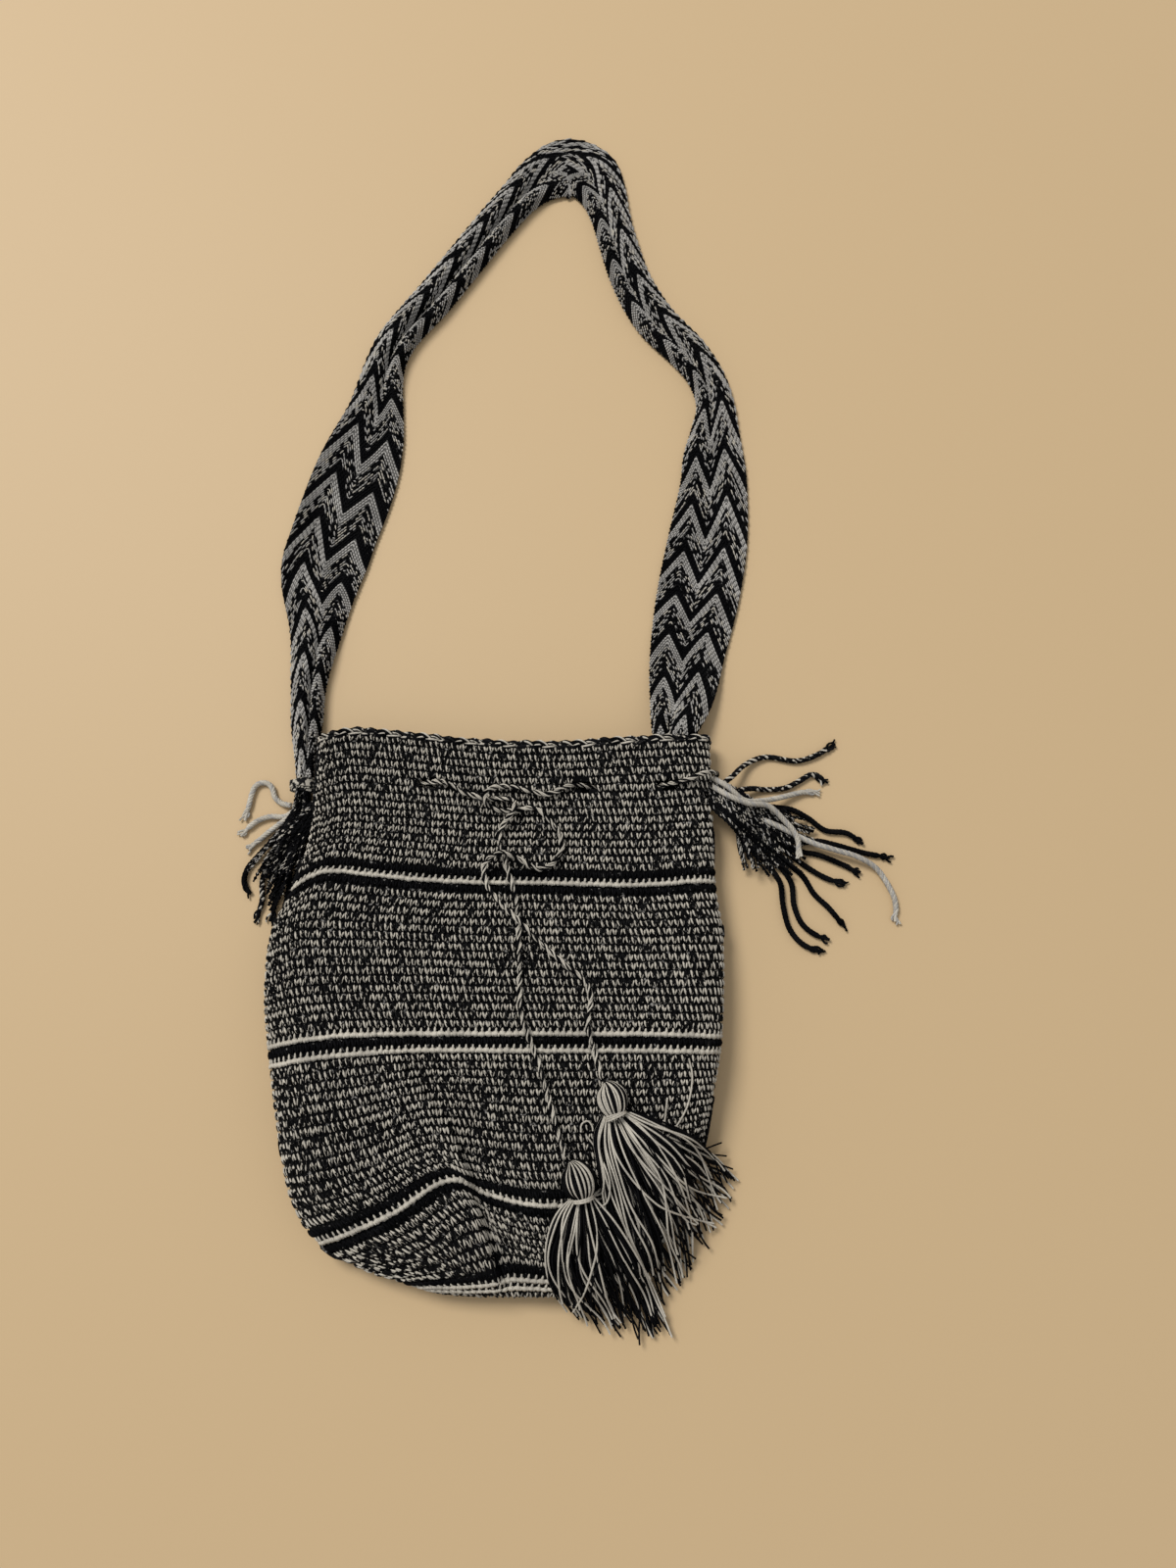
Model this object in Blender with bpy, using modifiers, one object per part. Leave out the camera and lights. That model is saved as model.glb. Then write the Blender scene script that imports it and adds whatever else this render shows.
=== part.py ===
"""A crocheted shoulder bag lying on its back, with its woven strap laid out above the mouth.

The bag is one crocheted piece: a flattened tube with an open mouth, a gathered round base, a roped
rim and small eyelets for the drawstring. The strap is one woven band, folded along its length where
it is narrow, with both ends gathered, lashed to the bag's sides and spread into a fringe.
X runs across the bag, +Y from the base to the top of the strap, +Z up from the floor. The origin is
on the floor, in the middle of the bag and strap. Sizes are in millimetres, and places are measured
from near the origin, until a mesh is made.
"""
import math

import bmesh
import bpy
import numpy as np
from mathutils import Matrix, Vector

MM = 0.001
CENTRE = (2.55, -0.35)         # the middle of the bag and strap, which becomes the origin
GAP = 0.3                      # clearance between pieces that touch

# The crocheted bag.
WALL = 3.0                     # thickness of the crochet
EDGE_ROUND_Y = (-320, -170, -100, -49)
EDGE_ROUND = (34, 34, 15, 13)  # how far the front wall takes to rise from the side fold
BACK_ROUND = 9.0               # the same for the back wall, which lies flat
SIDE_HEIGHT = 0.4              # height of the side fold as a share of the bag's thickness
BASE_SAG = 3.0                 # how far the last back row bows below a straight line
POINTS_ROUND = 44              # points round the bag, half on the front and half on the back
EDGE_CROWDING = 0.55           # 0 spaces those points evenly, 1 crowds them to the side folds
COLUMNS = (-1.0, -0.8, -0.6, -0.26, -0.14, 0.2, 0.6, 1.0)
# Crochet rows counted from the rim: row, left end x, right end x, y at each of the columns.
ROWS = (
    (0, -101.5, 95.5, (-49, -46, -47.5, -51, -52, -53, -50.5, -49)),
    (9, -102.5, 96.0, (-88, -83, -84.5, -87, -88, -88, -88, -86)),
    (18, -112.0, 96.5, (-125, -117, -119, -122, -122.5, -123, -124, -121)),
    (24, -121.0, 100.0, (-150, -144, -144.5, -146, -146.5, -147, -147.5, -146)),
    (30, -121.0, 99.5, (-176, -171, -170, -170, -170.5, -171, -171.5, -171)),
    (36.5, -117.0, 97.5, (-203, -199, -197, -196, -196, -196, -196, -197)),
    (44, -111.5, 93.0, (-238, -234, -230, -222.5, -223, -225, -225, -222)),
    (50, -104.0, 89.5, (-268, -263, -257, -244, -247, -250, -248, -240)),
    (55, -89.0, 85.5, (-289, -282, -274, -258, -265, -270.5, -269, -254)),
    (59, -70.0, 77.0, (-299, -294, -288, -274, -280, -285, -284, -274)),
    (63, -51.0, 65.0, (-304.5, -303, -301.5, -297.5, -296, -297.5, -297, -292)),
    (67, -35.0, 47.0, (-309.5, -310.5, -311.3, -312, -312, -312, -311.5, -308)),
)
# Outline of the side folds and the base, from the left of the rim round to the right of it.
OUTLINE = (
    (-101.5, -35), (-101.5, -60), (-102.5, -88), (-106, -107), (-112, -125), (-118.5, -138),
    (-121.5, -153), (-121, -180), (-117.5, -203), (-114, -225), (-110, -245), (-105, -266),
    (-97, -281), (-84, -292), (-67, -300.5), (-48, -306.5), (-30, -310.5), (-7, -312),
    (17, -312.3), (38, -311), (55, -304), (70, -289), (80, -270), (87, -247), (92, -226),
    (96, -208), (98.5, -190), (100, -165), (99.5, -140), (96.5, -115), (96, -80), (95.5, -35),
)
# Thickness of the lying bag and the lift of its back wall, at stations along Y.
THICKNESS_Y = (-320, -300, -285, -250, -210, -170, -125, -85, -49)
THICKNESS = (17, 21, 24, 29, 31, 29.5, 24, 20, 19)
LIFT_Y = (-320, -125, -92, -40)
LIFT = (0, 0, 4.6, 4.6)
# The slack cloth folds over itself at the lower left: a raised panel beside a valley.
CREASE = ((-66, -192), (-43, -217), (-29, -235), (-20, -256), (-15, -273), (-8, -296))
PANEL_RISE = 4.5
VALLEY_DEPTH = 5.5
PANEL_REACH = 30.0
VALLEY_REACH = 18.0
# Stripes of three rows: middle row and the colours from the rim downwards.
STRIPES = ((18, "black", "pale", "black"), (36.5, "pale", "black", "pale"),
           (55, "black", "pale", "black"), (63, "pale", "black", "pale"))
PLAIN_RINGS = (0, 4, 8, 12, 22.5, 27, 31.5, 41, 44.5, 48, 51, 59, 67)

# The roped rim: two plies twisted round each other.
ROPE_LONG = 3.3                # half the rope's longer axis
ROPE_SHORT = 2.4
ROPE_FLAT = 0.85               # the rope is squashed this much across the wall
ROPE_STEPS = 110
ROPE_TWISTS = 44

# Eyelets: x, y and whether the hole is in the front wall.
EYELETS = ((-44, -70.5, True), (32, -72.5, True), (74, -71.5, True),
           (60, -71, False), (15, -71, False), (-30, -71, False))
EYELET_LONG = 15.0
EYELET_SHORT = 6.4
SIDE_HOLE = (96, -77.0, 11.3)  # where the strap's right end comes out through the side
SIDE_HOLE_SIZE = (14, 16.5, 11)

# The strap, from the tip of its left fringe to the tip of its right one:
# x, y, height of its underside, visible width, share of its own width left by gathering.
BAND = 50.0
BAND_THICK = 2.6
FOLD_RADIUS = 2.4
STRAP = (
    (-122, -111, 0.2, 24, 0.50), (-117, -100, 0.3, 19, 0.42), (-111.5, -86, 1.4, 11, 0.30),
    (-109.8, -72, 3.4, 6.5, 0.24), (-109.8, -58, 3.0, 8.5, 0.34), (-110.5, -40, 1.2, 14, 0.60),
    (-110.8, -14, 0.3, 17.5, 0.88), (-109, 14, 0.2, 26, 1.0), (-106, 40, 0.2, 38, 1.0),
    (-101, 66, 0.2, 45, 1.0), (-93, 96, 0.2, 48, 1.0), (-82, 126, 0.2, 44, 1.0),
    (-73.5, 153, 0.2, 34, 1.0), (-63.5, 180, 0.2, 27, 1.0), (-50, 206, 0.2, 22, 1.0),
    (-34, 231, 0.2, 21, 1.0), (-16, 256.5, 0.2, 21, 1.0), (-3, 273.5, 0.2, 22.5, 1.0),
    (8.5, 285.5, 0.2, 29, 1.0), (22, 292, 0.2, 37, 1.0), (34, 288, 0.2, 34, 1.0),
    (42, 277, 0.2, 26, 1.0), (47, 262, 0.2, 21, 1.0), (51, 246, 0.2, 20.5, 1.0),
    (58.5, 221, 0.2, 21, 1.0), (71, 196, 0.2, 23, 1.0),
    (87, 175, 0.2, 25, 1.0), (100, 155, 0.2, 22.5, 1.0), (105, 128, 0.2, 27, 1.0),
    (103, 96, 0.2, 35, 1.0), (98, 64, 0.2, 42, 1.0), (92, 32, 0.2, 43, 1.0),
    (86.5, 4, 0.4, 39, 0.95), (82.5, -22, 4.5, 33, 0.76), (78, -43, 9.9, 22, 0.44),
    (77, -57, 9.9, 13, 0.27), (82.5, -69, 8.8, 7.5, 0.23), (95, -77, 8.0, 6.0, 0.22),
    (105, -80.5, 6.4, 8.0, 0.24), (114, -87, 3.4, 15, 0.34), (121, -97, 0.8, 25, 0.52),
    (125.5, -105, 0.2, 29, 0.60),
)
# Arc lengths of the pale points of the chevrons on each leg. Every point looks to the top of the strap.
TIPS_LEFT = (114.0, 139.2, 164.0, 189.9, 216.7, 247.4, 276.4, 301.6, 327.2, 356.1, 383.7, 411.8, 437.5)
TIPS_RIGHT = (451.3, 472.5, 500.3, 530.7, 560.0, 590.0, 619.7, 646.3, 672.3, 701.5, 727.6, 749.6, 773.5, 798.7)
ZIGZAG = 22.0                  # how far a chevron's points run ahead of its valleys
PALE_LINE, BLACK_LINE = 7.3, 6.4
POINTS_ACROSS = 9
PLAIN_STEP = 9.0               # distance between rows of facets along the ends
PLAIN_END = 77.0               # length of each end that is gathered cloth and loose warp

# The drawstring, from the lower tassel through the eyelets and back to the upper one:
# x, y, where it runs, extra lift. It crosses over itself at the half knot and on the way down.
STRING = 3.6
STRING_STEP = 13.5              # the longest straight run between two points of its centre line
STRING_ROUTE = (
    (24.6, -246.6, "over", 4.2), (22, -241, "over", 1.5), (18, -228, "over", 0), (14, -214, "over", 0),
    (10, -202, "over", 0), (6, -192, "over", 0), (3, -183, "over", 0), (2.2, -172, "over", 0),
    (2.2, -160, "over", 0), (1.5, -148, "over", 0), (1, -138, "over", 0), (-0.5, -128, "over", 0),
    (-4, -117, "over", 0), (-7, -107, "over", 0), (-9, -98, "over", 0), (-6.5, -92, "over", 0.5),
    (-1.5, -85.5, "over", 4.4), (-3, -80.5, "over", 1.5), (-14, -79.8, "over", 0), (-26, -77, "over", 0),
    (-37.2, -71.2, "over", 0.1), (-44, -70.5, "wall_front", 0), (-50.8, -69.5, "in_front", 0),
    (-66, -67.5, "in_front", 0), (-82, -66.5, "in_front", 0), (-91, -67.5, "in_front", 0),
    (-94.5, -71, "in_side", 0), (-90, -75, "in_back", 0), (-74, -74.5, "in_back", 0),
    (-54, -72, "in_back", 0), (-36.8, -71, "in_back", 0), (-30, -71, "wall_back", 0),
    (-23.2, -71, "under", 0), (-8, -71, "under", 0), (8.2, -71, "under", 0), (15, -71, "wall_back", 0),
    (21.8, -71, "in_back", 0), (38, -71, "in_back", 0), (53.2, -71, "in_back", 0),
    (60, -71, "wall_back", 0), (66.8, -71, "under", 0), (80, -69, "under", 0), (91, -66.5, "under", 0),
    (97.5, -65.5, "beside", -4.5), (98.8, -65.4, "beside", 0), (97.6, -65.5, "beside", 5.5),
    (91, -67, "over", 0.3), (80.8, -70.8, "over", 0.1),
    (74, -71.5, "wall_front", 0), (67.2, -72, "in_front", 0), (53, -72.5, "in_front", 0),
    (38.8, -72.5, "in_front", 0), (32, -72.5, "wall_front", 0), (25.2, -73.1, "over", 0.1),
    (14, -77.5, "over", 0), (4, -75.5, "over", 0.6), (-6, -73.8, "over", 1.2), (-14, -76, "over", 4.0),
    (-16.5, -80.5, "over", 4.6), (-12, -85.2, "over", 1.5), (-2, -86, "over", 0), (7, -84.3, "over", 0),
    (14, -89.5, "over", 0), (20.5, -97.5, "over", 0), (21.5, -105, "over", 0), (17.5, -112, "over", 0),
    (9.5, -115, "over", 0), (2, -111, "over", 1.8), (-7.5, -107.5, "over", 4.5), (-15.5, -113, "over", 2),
    (-15, -121, "over", 0), (-9, -130, "over", 1.2), (0.5, -139.5, "over", 4.5), (12, -151, "over", 1.5),
    (23, -160.5, "over", 0), (33, -169, "over", 0), (35.5, -177, "over", 0), (34, -188, "over", 0),
    (36.5, -199, "over", 0), (39.4, -208.4, "over", 1.5), (41.0, -212.2, "over", 4.2),
)

# Tassels lie on the front: x, y, half width, height, lift, from the head's top to the yarn tips.
TASSELS = {
    "tassel_lower": (
        (26.6, -249.2, 1.3, 2.6, 6.2), (27.8, -251, 4.6, 9, 3.2), (28.8, -253.5, 7, 13.5, 1.2),
        (30, -257, 8, 15.5, 0.6), (31.2, -261, 7.0, 13.6, 1.4), (31.9, -264, 4.4, 8.8, 3.5),
        (32.3, -265.8, 3.4, 6.8, 4.5), (32.6, -270.4, 3.4, 6.8, 4.5), (32.2, -273, 7.0, 9, 2),
        (31, -280, 12.5, 10.5, 0.8), (31.5, -292, 15.5, 10, 0.8), (34, -304, 15.5, 8.5, 0.8),
        (38, -314, 14, 7, 0.8), (42, -321, 12, 5, 0.8)),
    "tassel_upper": (
        (42.2, -214.6, 1.3, 2.6, 6.0), (43.2, -216.4, 4.5, 8.8, 3.2), (44, -218.6, 6.5, 12.6, 1.2),
        (45, -221.5, 7.2, 14.2, 0.6), (46, -225.2, 6.3, 12.4, 1.3), (46.7, -228, 4.3, 8.6, 3.4),
        (47.4, -229.8, 3.3, 6.6, 4.5), (49.3, -234, 3.3, 6.6, 4.5), (51.2, -237, 7, 9, 2),
        (57, -246, 14.5, 11, 0.8), (65, -259, 20, 10.5, 0.8), (73, -273, 23, 9, 0.8),
        (79, -286, 22, 7, 0.8), (84, -296, 18, 5, 0.8)),
}
TASSEL_SIDES = 20
TASSEL_FLUTES = 10
BINDING_STATION = 6            # the station of a tassel that its binding goes round
BINDING_LONG = 3.2
BINDING_THICK = 1.1

# Loose cords of the two fringes: x, y, height of the centre line above a cord lying on the floor.
FRINGE = 3.0
FRINGE_STEP = 7.5
FRINGE_RIGHT = {
    "a": ((101.6, -70.6, 7), (107, -65.5, 6), (115, -58, 2), (125, -54, 0), (141, -56, 0),
          (151, -53, 0), (161, -47, 0)),
    "b": ((109.5, -73, 5.5), (117, -71, 2.5), (125, -71, 0), (135, -70, 0), (142, -66.5, 0),
          (149, -63, 0), (155, -67, 0)),
    "c": ((117, -78.2, 3), (125, -76.6, 0.6), (136, -74.6, 0), (149, -72, 0)),
    "d": ((123.5, -82.2, 1), (130, -84.6, 0), (136, -88.5, 0), (142, -93.5, 0)),
    "e": ((130, -80.2, 0), (138, -81.5, 0), (146, -86, 0), (154, -92, 0), (165, -93.5, 0), (173, -99, 0)),
    "f": ((140.5, -98.2, 0), (150, -97.5, 0), (161, -100, 0), (173, -103.5, 0), (186, -106, 0)),
    "g": ((139.5, -102.2, 0), (150, -104.5, 0), (160, -108.5, 0), (171, -113.5, 0)),
    "h": ((147, -99, 3.4), (158, -102.5, 3.5), (169, -106, 3.5), (178, -111, 1.5), (184, -119, 0),
          (187.5, -128, 0), (187, -138, 0)),
    "i": ((127.5, -113.5, 0), (130.5, -119, 0), (131.5, -130, 0), (134.5, -142, 0), (141, -149.5, 0),
          (150, -153, 0)),
    "j": ((131.5, -111.3, 0), (136, -119, 0), (137, -130, 0), (140.5, -139, 0), (147, -144.5, 0),
          (154, -147, 0)),
    "k": ((135.3, -109.2, 0), (142, -115.5, 0), (147, -124, 0), (154, -131, 0), (162, -141, 0)),
    "l": ((138.6, -106.6, 0), (146, -112, 0), (154, -116.5, 0), (163, -119.5, 0)),
}
FRINGE_LEFT = {
    "a": ((-116.2, -79.5, 2), (-121, -78.5, 0), (-126, -71.5, 0), (-131, -66, 0), (-135.5, -73, 0),
          (-139.5, -87, 0)),
    "b": ((-119.5, -85, 0.5), (-127, -85, 0), (-134.5, -88, 0), (-141, -95, 0)),
    "c": ((-126, -92, 0), (-130, -95.5, 0), (-135, -100.5, 0)),
    "d": ((-133.5, -107, 0), (-137, -112, 0), (-138, -118, 0), (-134.5, -124, 0)),
    "e": ((-127.6, -112, 0), (-129, -118, 0), (-128.5, -127, 0), (-130.5, -137, 0)),
    "f": ((-121.8, -115.4, 0), (-121.5, -122, 0), (-122.3, -130, 0), (-124, -138, 0)),
    "g": ((-115.4, -118.8, 0), (-116, -124, 0), (-117.8, -131, 0)),
}

# Yarn wrapped round the gathered ends of the strap: x, y, height of the middle, turn, half sizes.
LASHINGS = {
    "lashing_left": (-109.8, -70, 6.6, 92, 5.4, 4.1),
    "lashing_right": (103.6, -80.0, 9.9, -18, 6.0, 4.4),
}
LASHING_LONG = 4.4
LASHING_THICK = 1.2
LASHING_SQUARE = 0.4            # below 1 the sleeve's section is a rounded box
WRAP_SIDES = 12

COLOURS = {"heather": (0.16, 0.155, 0.145), "black": (0.012, 0.012, 0.013), "pale": (0.50, 0.47, 0.42)}


def clear_scene():
    for obj in list(bpy.data.objects):
        bpy.data.objects.remove(obj, do_unlink=True)


def material(name, colour, roughness=0.95):
    mat = bpy.data.materials.new(name)
    mat.use_nodes = True
    shader = mat.node_tree.nodes["Principled BSDF"]
    shader.inputs["Base Color"].default_value = (*colour, 1.0)
    shader.inputs["Roughness"].default_value = roughness
    shader.inputs["Metallic"].default_value = 0.0
    return mat


def placed(point):
    """A point in metres from the origin."""
    return Vector((point[0] - CENTRE[0], point[1] - CENTRE[1], point[2])) * MM


def curve_spans(points, steps):
    """A centripetal spline through the points; steps gives how many samples each span gets."""
    pts = np.array(points, float)
    ends = np.vstack([2 * pts[0] - pts[1], pts, 2 * pts[-1] - pts[-2]])
    knots = np.concatenate([[0], np.cumsum(np.sqrt(np.linalg.norm(np.diff(ends[:, :3], axis=0), axis=1)))])
    curve = []
    for i in range(1, len(ends) - 2):
        t0, t1, t2, t3 = knots[i - 1:i + 3]
        p0, p1, p2, p3 = ends[i - 1:i + 3]
        for t in np.linspace(t1, t2, steps(np.linalg.norm((p2 - p1)[:3])), endpoint=False):
            a1 = (t1 - t) / (t1 - t0) * p0 + (t - t0) / (t1 - t0) * p1
            a2 = (t2 - t) / (t2 - t1) * p1 + (t - t1) / (t2 - t1) * p2
            a3 = (t3 - t) / (t3 - t2) * p2 + (t - t2) / (t3 - t2) * p3
            b1 = (t2 - t) / (t2 - t0) * a1 + (t - t0) / (t2 - t0) * a2
            b2 = (t3 - t) / (t3 - t1) * a2 + (t - t1) / (t3 - t1) * a3
            curve.append((t2 - t) / (t2 - t1) * b1 + (t - t1) / (t2 - t1) * b2)
    return np.array(curve + [pts[-1]])


def curve_through(points, longest):
    """The spline read at its own points, and between two that lie further apart than longest."""
    return curve_spans(points, lambda span: max(1, math.ceil(span / longest)))


def smooth_curve(points, spacing):
    """Points along the same spline, about one spacing apart."""
    dense = curve_spans(points, lambda span: 24)
    length = np.concatenate([[0], np.cumsum(np.linalg.norm(np.diff(dense[:, :3], axis=0), axis=1))])
    count = max(2, round(length[-1] / spacing) + 1)
    at = np.linspace(0, length[-1], count)
    return np.array([np.interp(at, length, dense[:, k]) for k in range(dense.shape[1])]).T


def blend_keys(x, keys, values):
    """Smooth interpolation of values between rising keys, with no overshoot."""
    keys = np.array(keys, float)
    values = np.array(values, float)
    i = int(np.clip(np.searchsorted(keys, x) - 1, 0, len(keys) - 2))
    h = np.diff(keys)
    slope = np.diff(values, axis=0) / h.reshape(-1, *([1] * (values.ndim - 1)))
    def tangent(k):
        if k in (0, len(keys) - 1):
            return slope[min(k, len(slope) - 1)]
        a, b = slope[k - 1], slope[k]
        mean = 2 * a * b / np.where(np.abs(a + b) < 1e-12, 1.0, a + b)
        return np.where(a * b > 0, mean, 0.0)
    t = np.clip((x - keys[i]) / h[i], 0.0, 1.0)
    m0, m1 = tangent(i) * h[i], tangent(i + 1) * h[i]
    p0, p1 = values[i], values[i + 1]
    return ((2 * t**3 - 3 * t**2 + 1) * p0 + (t**3 - 2 * t**2 + t) * m0
            + (3 * t**2 - 2 * t**3) * p1 + (t**3 - t**2) * m1)


def polyline_distance(x, y, points):
    """Distance to a polyline, and on which side of it the point lies (left is positive)."""
    p = np.array(points, float)
    a, b = p[:-1], p[1:]
    d = b - a
    t = np.clip(((x - a[:, 0]) * d[:, 0] + (y - a[:, 1]) * d[:, 1]) / (d**2).sum(1), 0, 1)
    near = a + d * t[:, None]
    gap = np.hypot(x - near[:, 0], y - near[:, 1])
    k = int(np.argmin(gap))
    side = d[k, 0] * (y - near[k, 1]) - d[k, 1] * (x - near[k, 0])
    return gap[k], 1.0 if side > 0 else -1.0


OUTLINE_CURVE = smooth_curve(OUTLINE, 4.0)


def inside_depth(x, y):
    """Distance in from the side folds and the base, negative outside the bag."""
    gap, side = polyline_distance(x, y, OUTLINE_CURVE)
    return gap * side


def fold_height(x, y):
    """Rise of the slack panel and dip of the valley beside it."""
    gap, side = polyline_distance(x, y, CREASE)
    start = np.clip((CREASE[0][1] + 10 - y) / 35, 0, 1)
    if side < 0:
        return start * PANEL_RISE * min(1.0, 0.25 + gap / 5) * math.exp(-gap / PANEL_REACH)
    return -start * VALLEY_DEPTH * math.exp(-(gap / VALLEY_REACH)**2)


def back_height(x, y):
    """Height of the back wall's outer face."""
    lift = blend_keys(y, LIFT_Y, LIFT)
    edge = min(max(inside_depth(x, y), 0) / BACK_ROUND, 1.0)
    return lift + (side_height(y) - lift) * (1 - math.sqrt(1 - (1 - edge)**2))


def side_height(y):
    lift = blend_keys(y, LIFT_Y, LIFT)
    return lift + SIDE_HEIGHT * (blend_keys(y, THICKNESS_Y, THICKNESS) - lift)


def front_height(x, y):
    """Height of the front wall's outer face."""
    depth = max(inside_depth(x, y), 0)
    edge = min(depth / blend_keys(y, EDGE_ROUND_Y, EDGE_ROUND), 1.0)
    low = side_height(y)
    top = blend_keys(y, THICKNESS_Y, THICKNESS)
    crown = low + (top - low) * math.sqrt(1 - (1 - edge)**2.3)
    return crown + fold_height(x, y) * min(depth / 16, 1.0)


def row_ends(row):
    return blend_keys(row, [r[0] for r in ROWS], [(r[1], r[2]) for r in ROWS])


def row_height(row, across):
    """Y of a crochet row at a place across the front, from -1 at the left fold to 1."""
    line = blend_keys(row, [r[0] for r in ROWS], [r[3] for r in ROWS])
    return float(blend_keys(across, COLUMNS, line))


def straight_height(row, across):
    """Y of a row that runs straight from one side fold to the other."""
    return float(np.interp(across, (-1, 1), (row_height(row, -1), row_height(row, 1))))


def wall_point(row, across, front):
    """A point on the bag's outer face; the back wall has no fold, so its rows run straight."""
    left, right = row_ends(row)
    x = left + (right - left) * (across + 1) / 2
    if front:
        y = row_height(row, across)
    else:
        above = min(row, 30)
        bow = row_height(above, across) - straight_height(above, across)
        y = straight_height(row, across) + bow * max(0, 1 - row / 60)
        y -= max(row - 60, 0) * BASE_SAG / 7 * (1 - across**2)
    if abs(across) > 0.9999:
        z = side_height(y)
    else:
        z = front_height(x, y) if front else back_height(x, y)
    return x, y, z


def ring(row):
    """Points round the bag, closer together towards the side folds."""
    half = POINTS_ROUND // 2
    even = [i / half for i in range(half)]
    spread = [-EDGE_CROWDING * math.cos(math.pi * s) + (1 - EDGE_CROWDING) * (2 * s - 1) for s in even]
    front = [wall_point(row, s, True) for s in spread]
    back = [wall_point(row, -s, False) for s in spread]
    return front + back


def new_object(name, mesh, collection, slots):
    obj = bpy.data.objects.new(name, mesh)
    for mat in slots:
        mesh.materials.append(mat)
    collection.objects.link(obj)
    return obj


def loft(name, rings, collection, slots, closed=True, caps=(True, True), paint=None):
    """A skin through rings of points; paint gives the material slot of the strip after a ring."""
    bm = bmesh.new()
    rows = [[bm.verts.new(placed(p)) for p in r] for r in rings]
    count = len(rows[0])
    for i, (a, b) in enumerate(zip(rows, rows[1:])):
        for j in range(count if closed else count - 1):
            k = (j + 1) % count
            face = bm.faces.new((a[j], a[k], b[k], b[j]))
            face.material_index = paint(i, j) if paint else 0
    if closed and caps[0]:
        bm.faces.new(rows[0][::-1])
    if closed and caps[1]:
        bm.faces.new(rows[-1])
    if closed:
        face_outwards(bm, rows)
    mesh = bpy.data.meshes.new(name)
    bm.to_mesh(mesh)
    bm.free()
    mesh.shade_smooth()
    return new_object(name, mesh, collection, slots)


def face_outwards(bm, rows):
    """Turn a tube's faces away from the middle of its rings, open ends or not."""
    bmesh.ops.recalc_face_normals(bm, faces=bm.faces)
    bm.normal_update()
    outward = 0.0
    for row in rows:
        middle = sum((v.co for v in row), Vector()) / len(row)
        for v in row:
            outward += sum(f.normal.dot(v.co - middle) for f in v.link_faces)
    if outward < 0:
        bmesh.ops.reverse_faces(bm, faces=bm.faces)


def add_modifier(obj, kind, **settings):
    mod = obj.modifiers.new(kind.title(), kind)
    for key, value in settings.items():
        setattr(mod, key, value)
    return mod


def ellipsoid_cutter(name, centre, size, collection, vertical=True):
    """An oval drill for an eyelet, standing up, or lying along X for the hole in the side."""
    bm = bmesh.new()
    bmesh.ops.create_cone(bm, cap_ends=True, segments=12, radius1=0.5, radius2=0.5, depth=1.0)
    if not vertical:
        bmesh.ops.rotate(bm, verts=bm.verts, matrix=Matrix.Rotation(math.pi / 2, 3, "Y"))
    bmesh.ops.scale(bm, verts=bm.verts, vec=[c * MM for c in size])
    bmesh.ops.translate(bm, verts=bm.verts, vec=placed(centre))
    mesh = bpy.data.meshes.new(name)
    bm.to_mesh(mesh)
    bm.free()
    obj = new_object(name, mesh, collection, [])
    obj.hide_render = True
    obj.display_type = "WIRE"
    return obj


def stripe_slot(row):
    """Material slot of the crochet row that holds a row number: heather, black or pale."""
    for middle, *colours in STRIPES:
        k = math.floor(row - (middle - 1.5))
        if 0 <= k < 3:
            return ("heather", "black", "pale").index(colours[k])
    return 0


def build_bag(parts, cutters, mats):
    rows = sorted(set(PLAIN_RINGS) | {m + d for m, *_ in STRIPES for d in (-1.5, -0.5, 0.5, 1.5)})
    paint = [stripe_slot((a + b) / 2) for a, b in zip(rows, rows[1:])]
    bag = loft("bag_body", [ring(r) for r in rows], parts, mats, caps=(False, True),
               paint=lambda i, j: paint[i])
    add_modifier(bag, "SOLIDIFY", thickness=WALL * MM, offset=-1.0, use_even_offset=False)
    rope = build_rim_rope(cutters, mats)
    add_modifier(bag, "BOOLEAN", operation="UNION", object=rope, solver="EXACT")
    for i, (x, y, front) in enumerate(EYELETS):
        z = front_height(x, y) - WALL / 2 if front else back_height(x, y) + WALL / 2
        drill = ellipsoid_cutter(f"eyelet_drill_{i}", (x, y, z), (EYELET_LONG, EYELET_SHORT, 3 * WALL), cutters)
        add_modifier(bag, "BOOLEAN", operation="DIFFERENCE", object=drill, solver="EXACT")
    drill = ellipsoid_cutter("side_drill", SIDE_HOLE, SIDE_HOLE_SIZE, cutters, vertical=False)
    add_modifier(bag, "BOOLEAN", operation="DIFFERENCE", object=drill, solver="EXACT")
    return bag


def build_rim_rope(cutters, mats):
    """The border of crossed stitches: a flat oval section that turns as it goes round the mouth."""
    path = resample_loop([Vector(p) for p in ring(0)], ROPE_STEPS)
    rings = []
    for i, p in enumerate(path):
        tangent = (path[(i + 1) % ROPE_STEPS] - path[i - 1]).normalized()
        side = Vector((0, 1, 0)).cross(tangent).normalized()
        p = p + side * WALL / 2
        turn = math.pi * ROPE_TWISTS * i / ROPE_STEPS
        section = []
        for k in range(6):
            a = 2 * math.pi * k / 6
            u, v = ROPE_LONG * math.cos(a), ROPE_SHORT * math.sin(a)
            along_y = u * math.cos(turn) - v * math.sin(turn)
            along_side = (u * math.sin(turn) + v * math.cos(turn)) * ROPE_FLAT
            section.append(p + Vector((0, 1, 0)) * (along_y + 1.2) + side * along_side)
        rings.append(section)
    rope = loft("rim_rope", rings + [rings[0]], cutters, mats, caps=(False, False))
    weld_loop(rope)
    rope.hide_render = True
    rope.display_type = "WIRE"
    return rope


def weld_loop(obj):
    bm = bmesh.new()
    bm.from_mesh(obj.data)
    bmesh.ops.remove_doubles(bm, verts=bm.verts, dist=0.00005)
    bmesh.ops.recalc_face_normals(bm, faces=bm.faces)
    bm.to_mesh(obj.data)
    bm.free()


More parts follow.
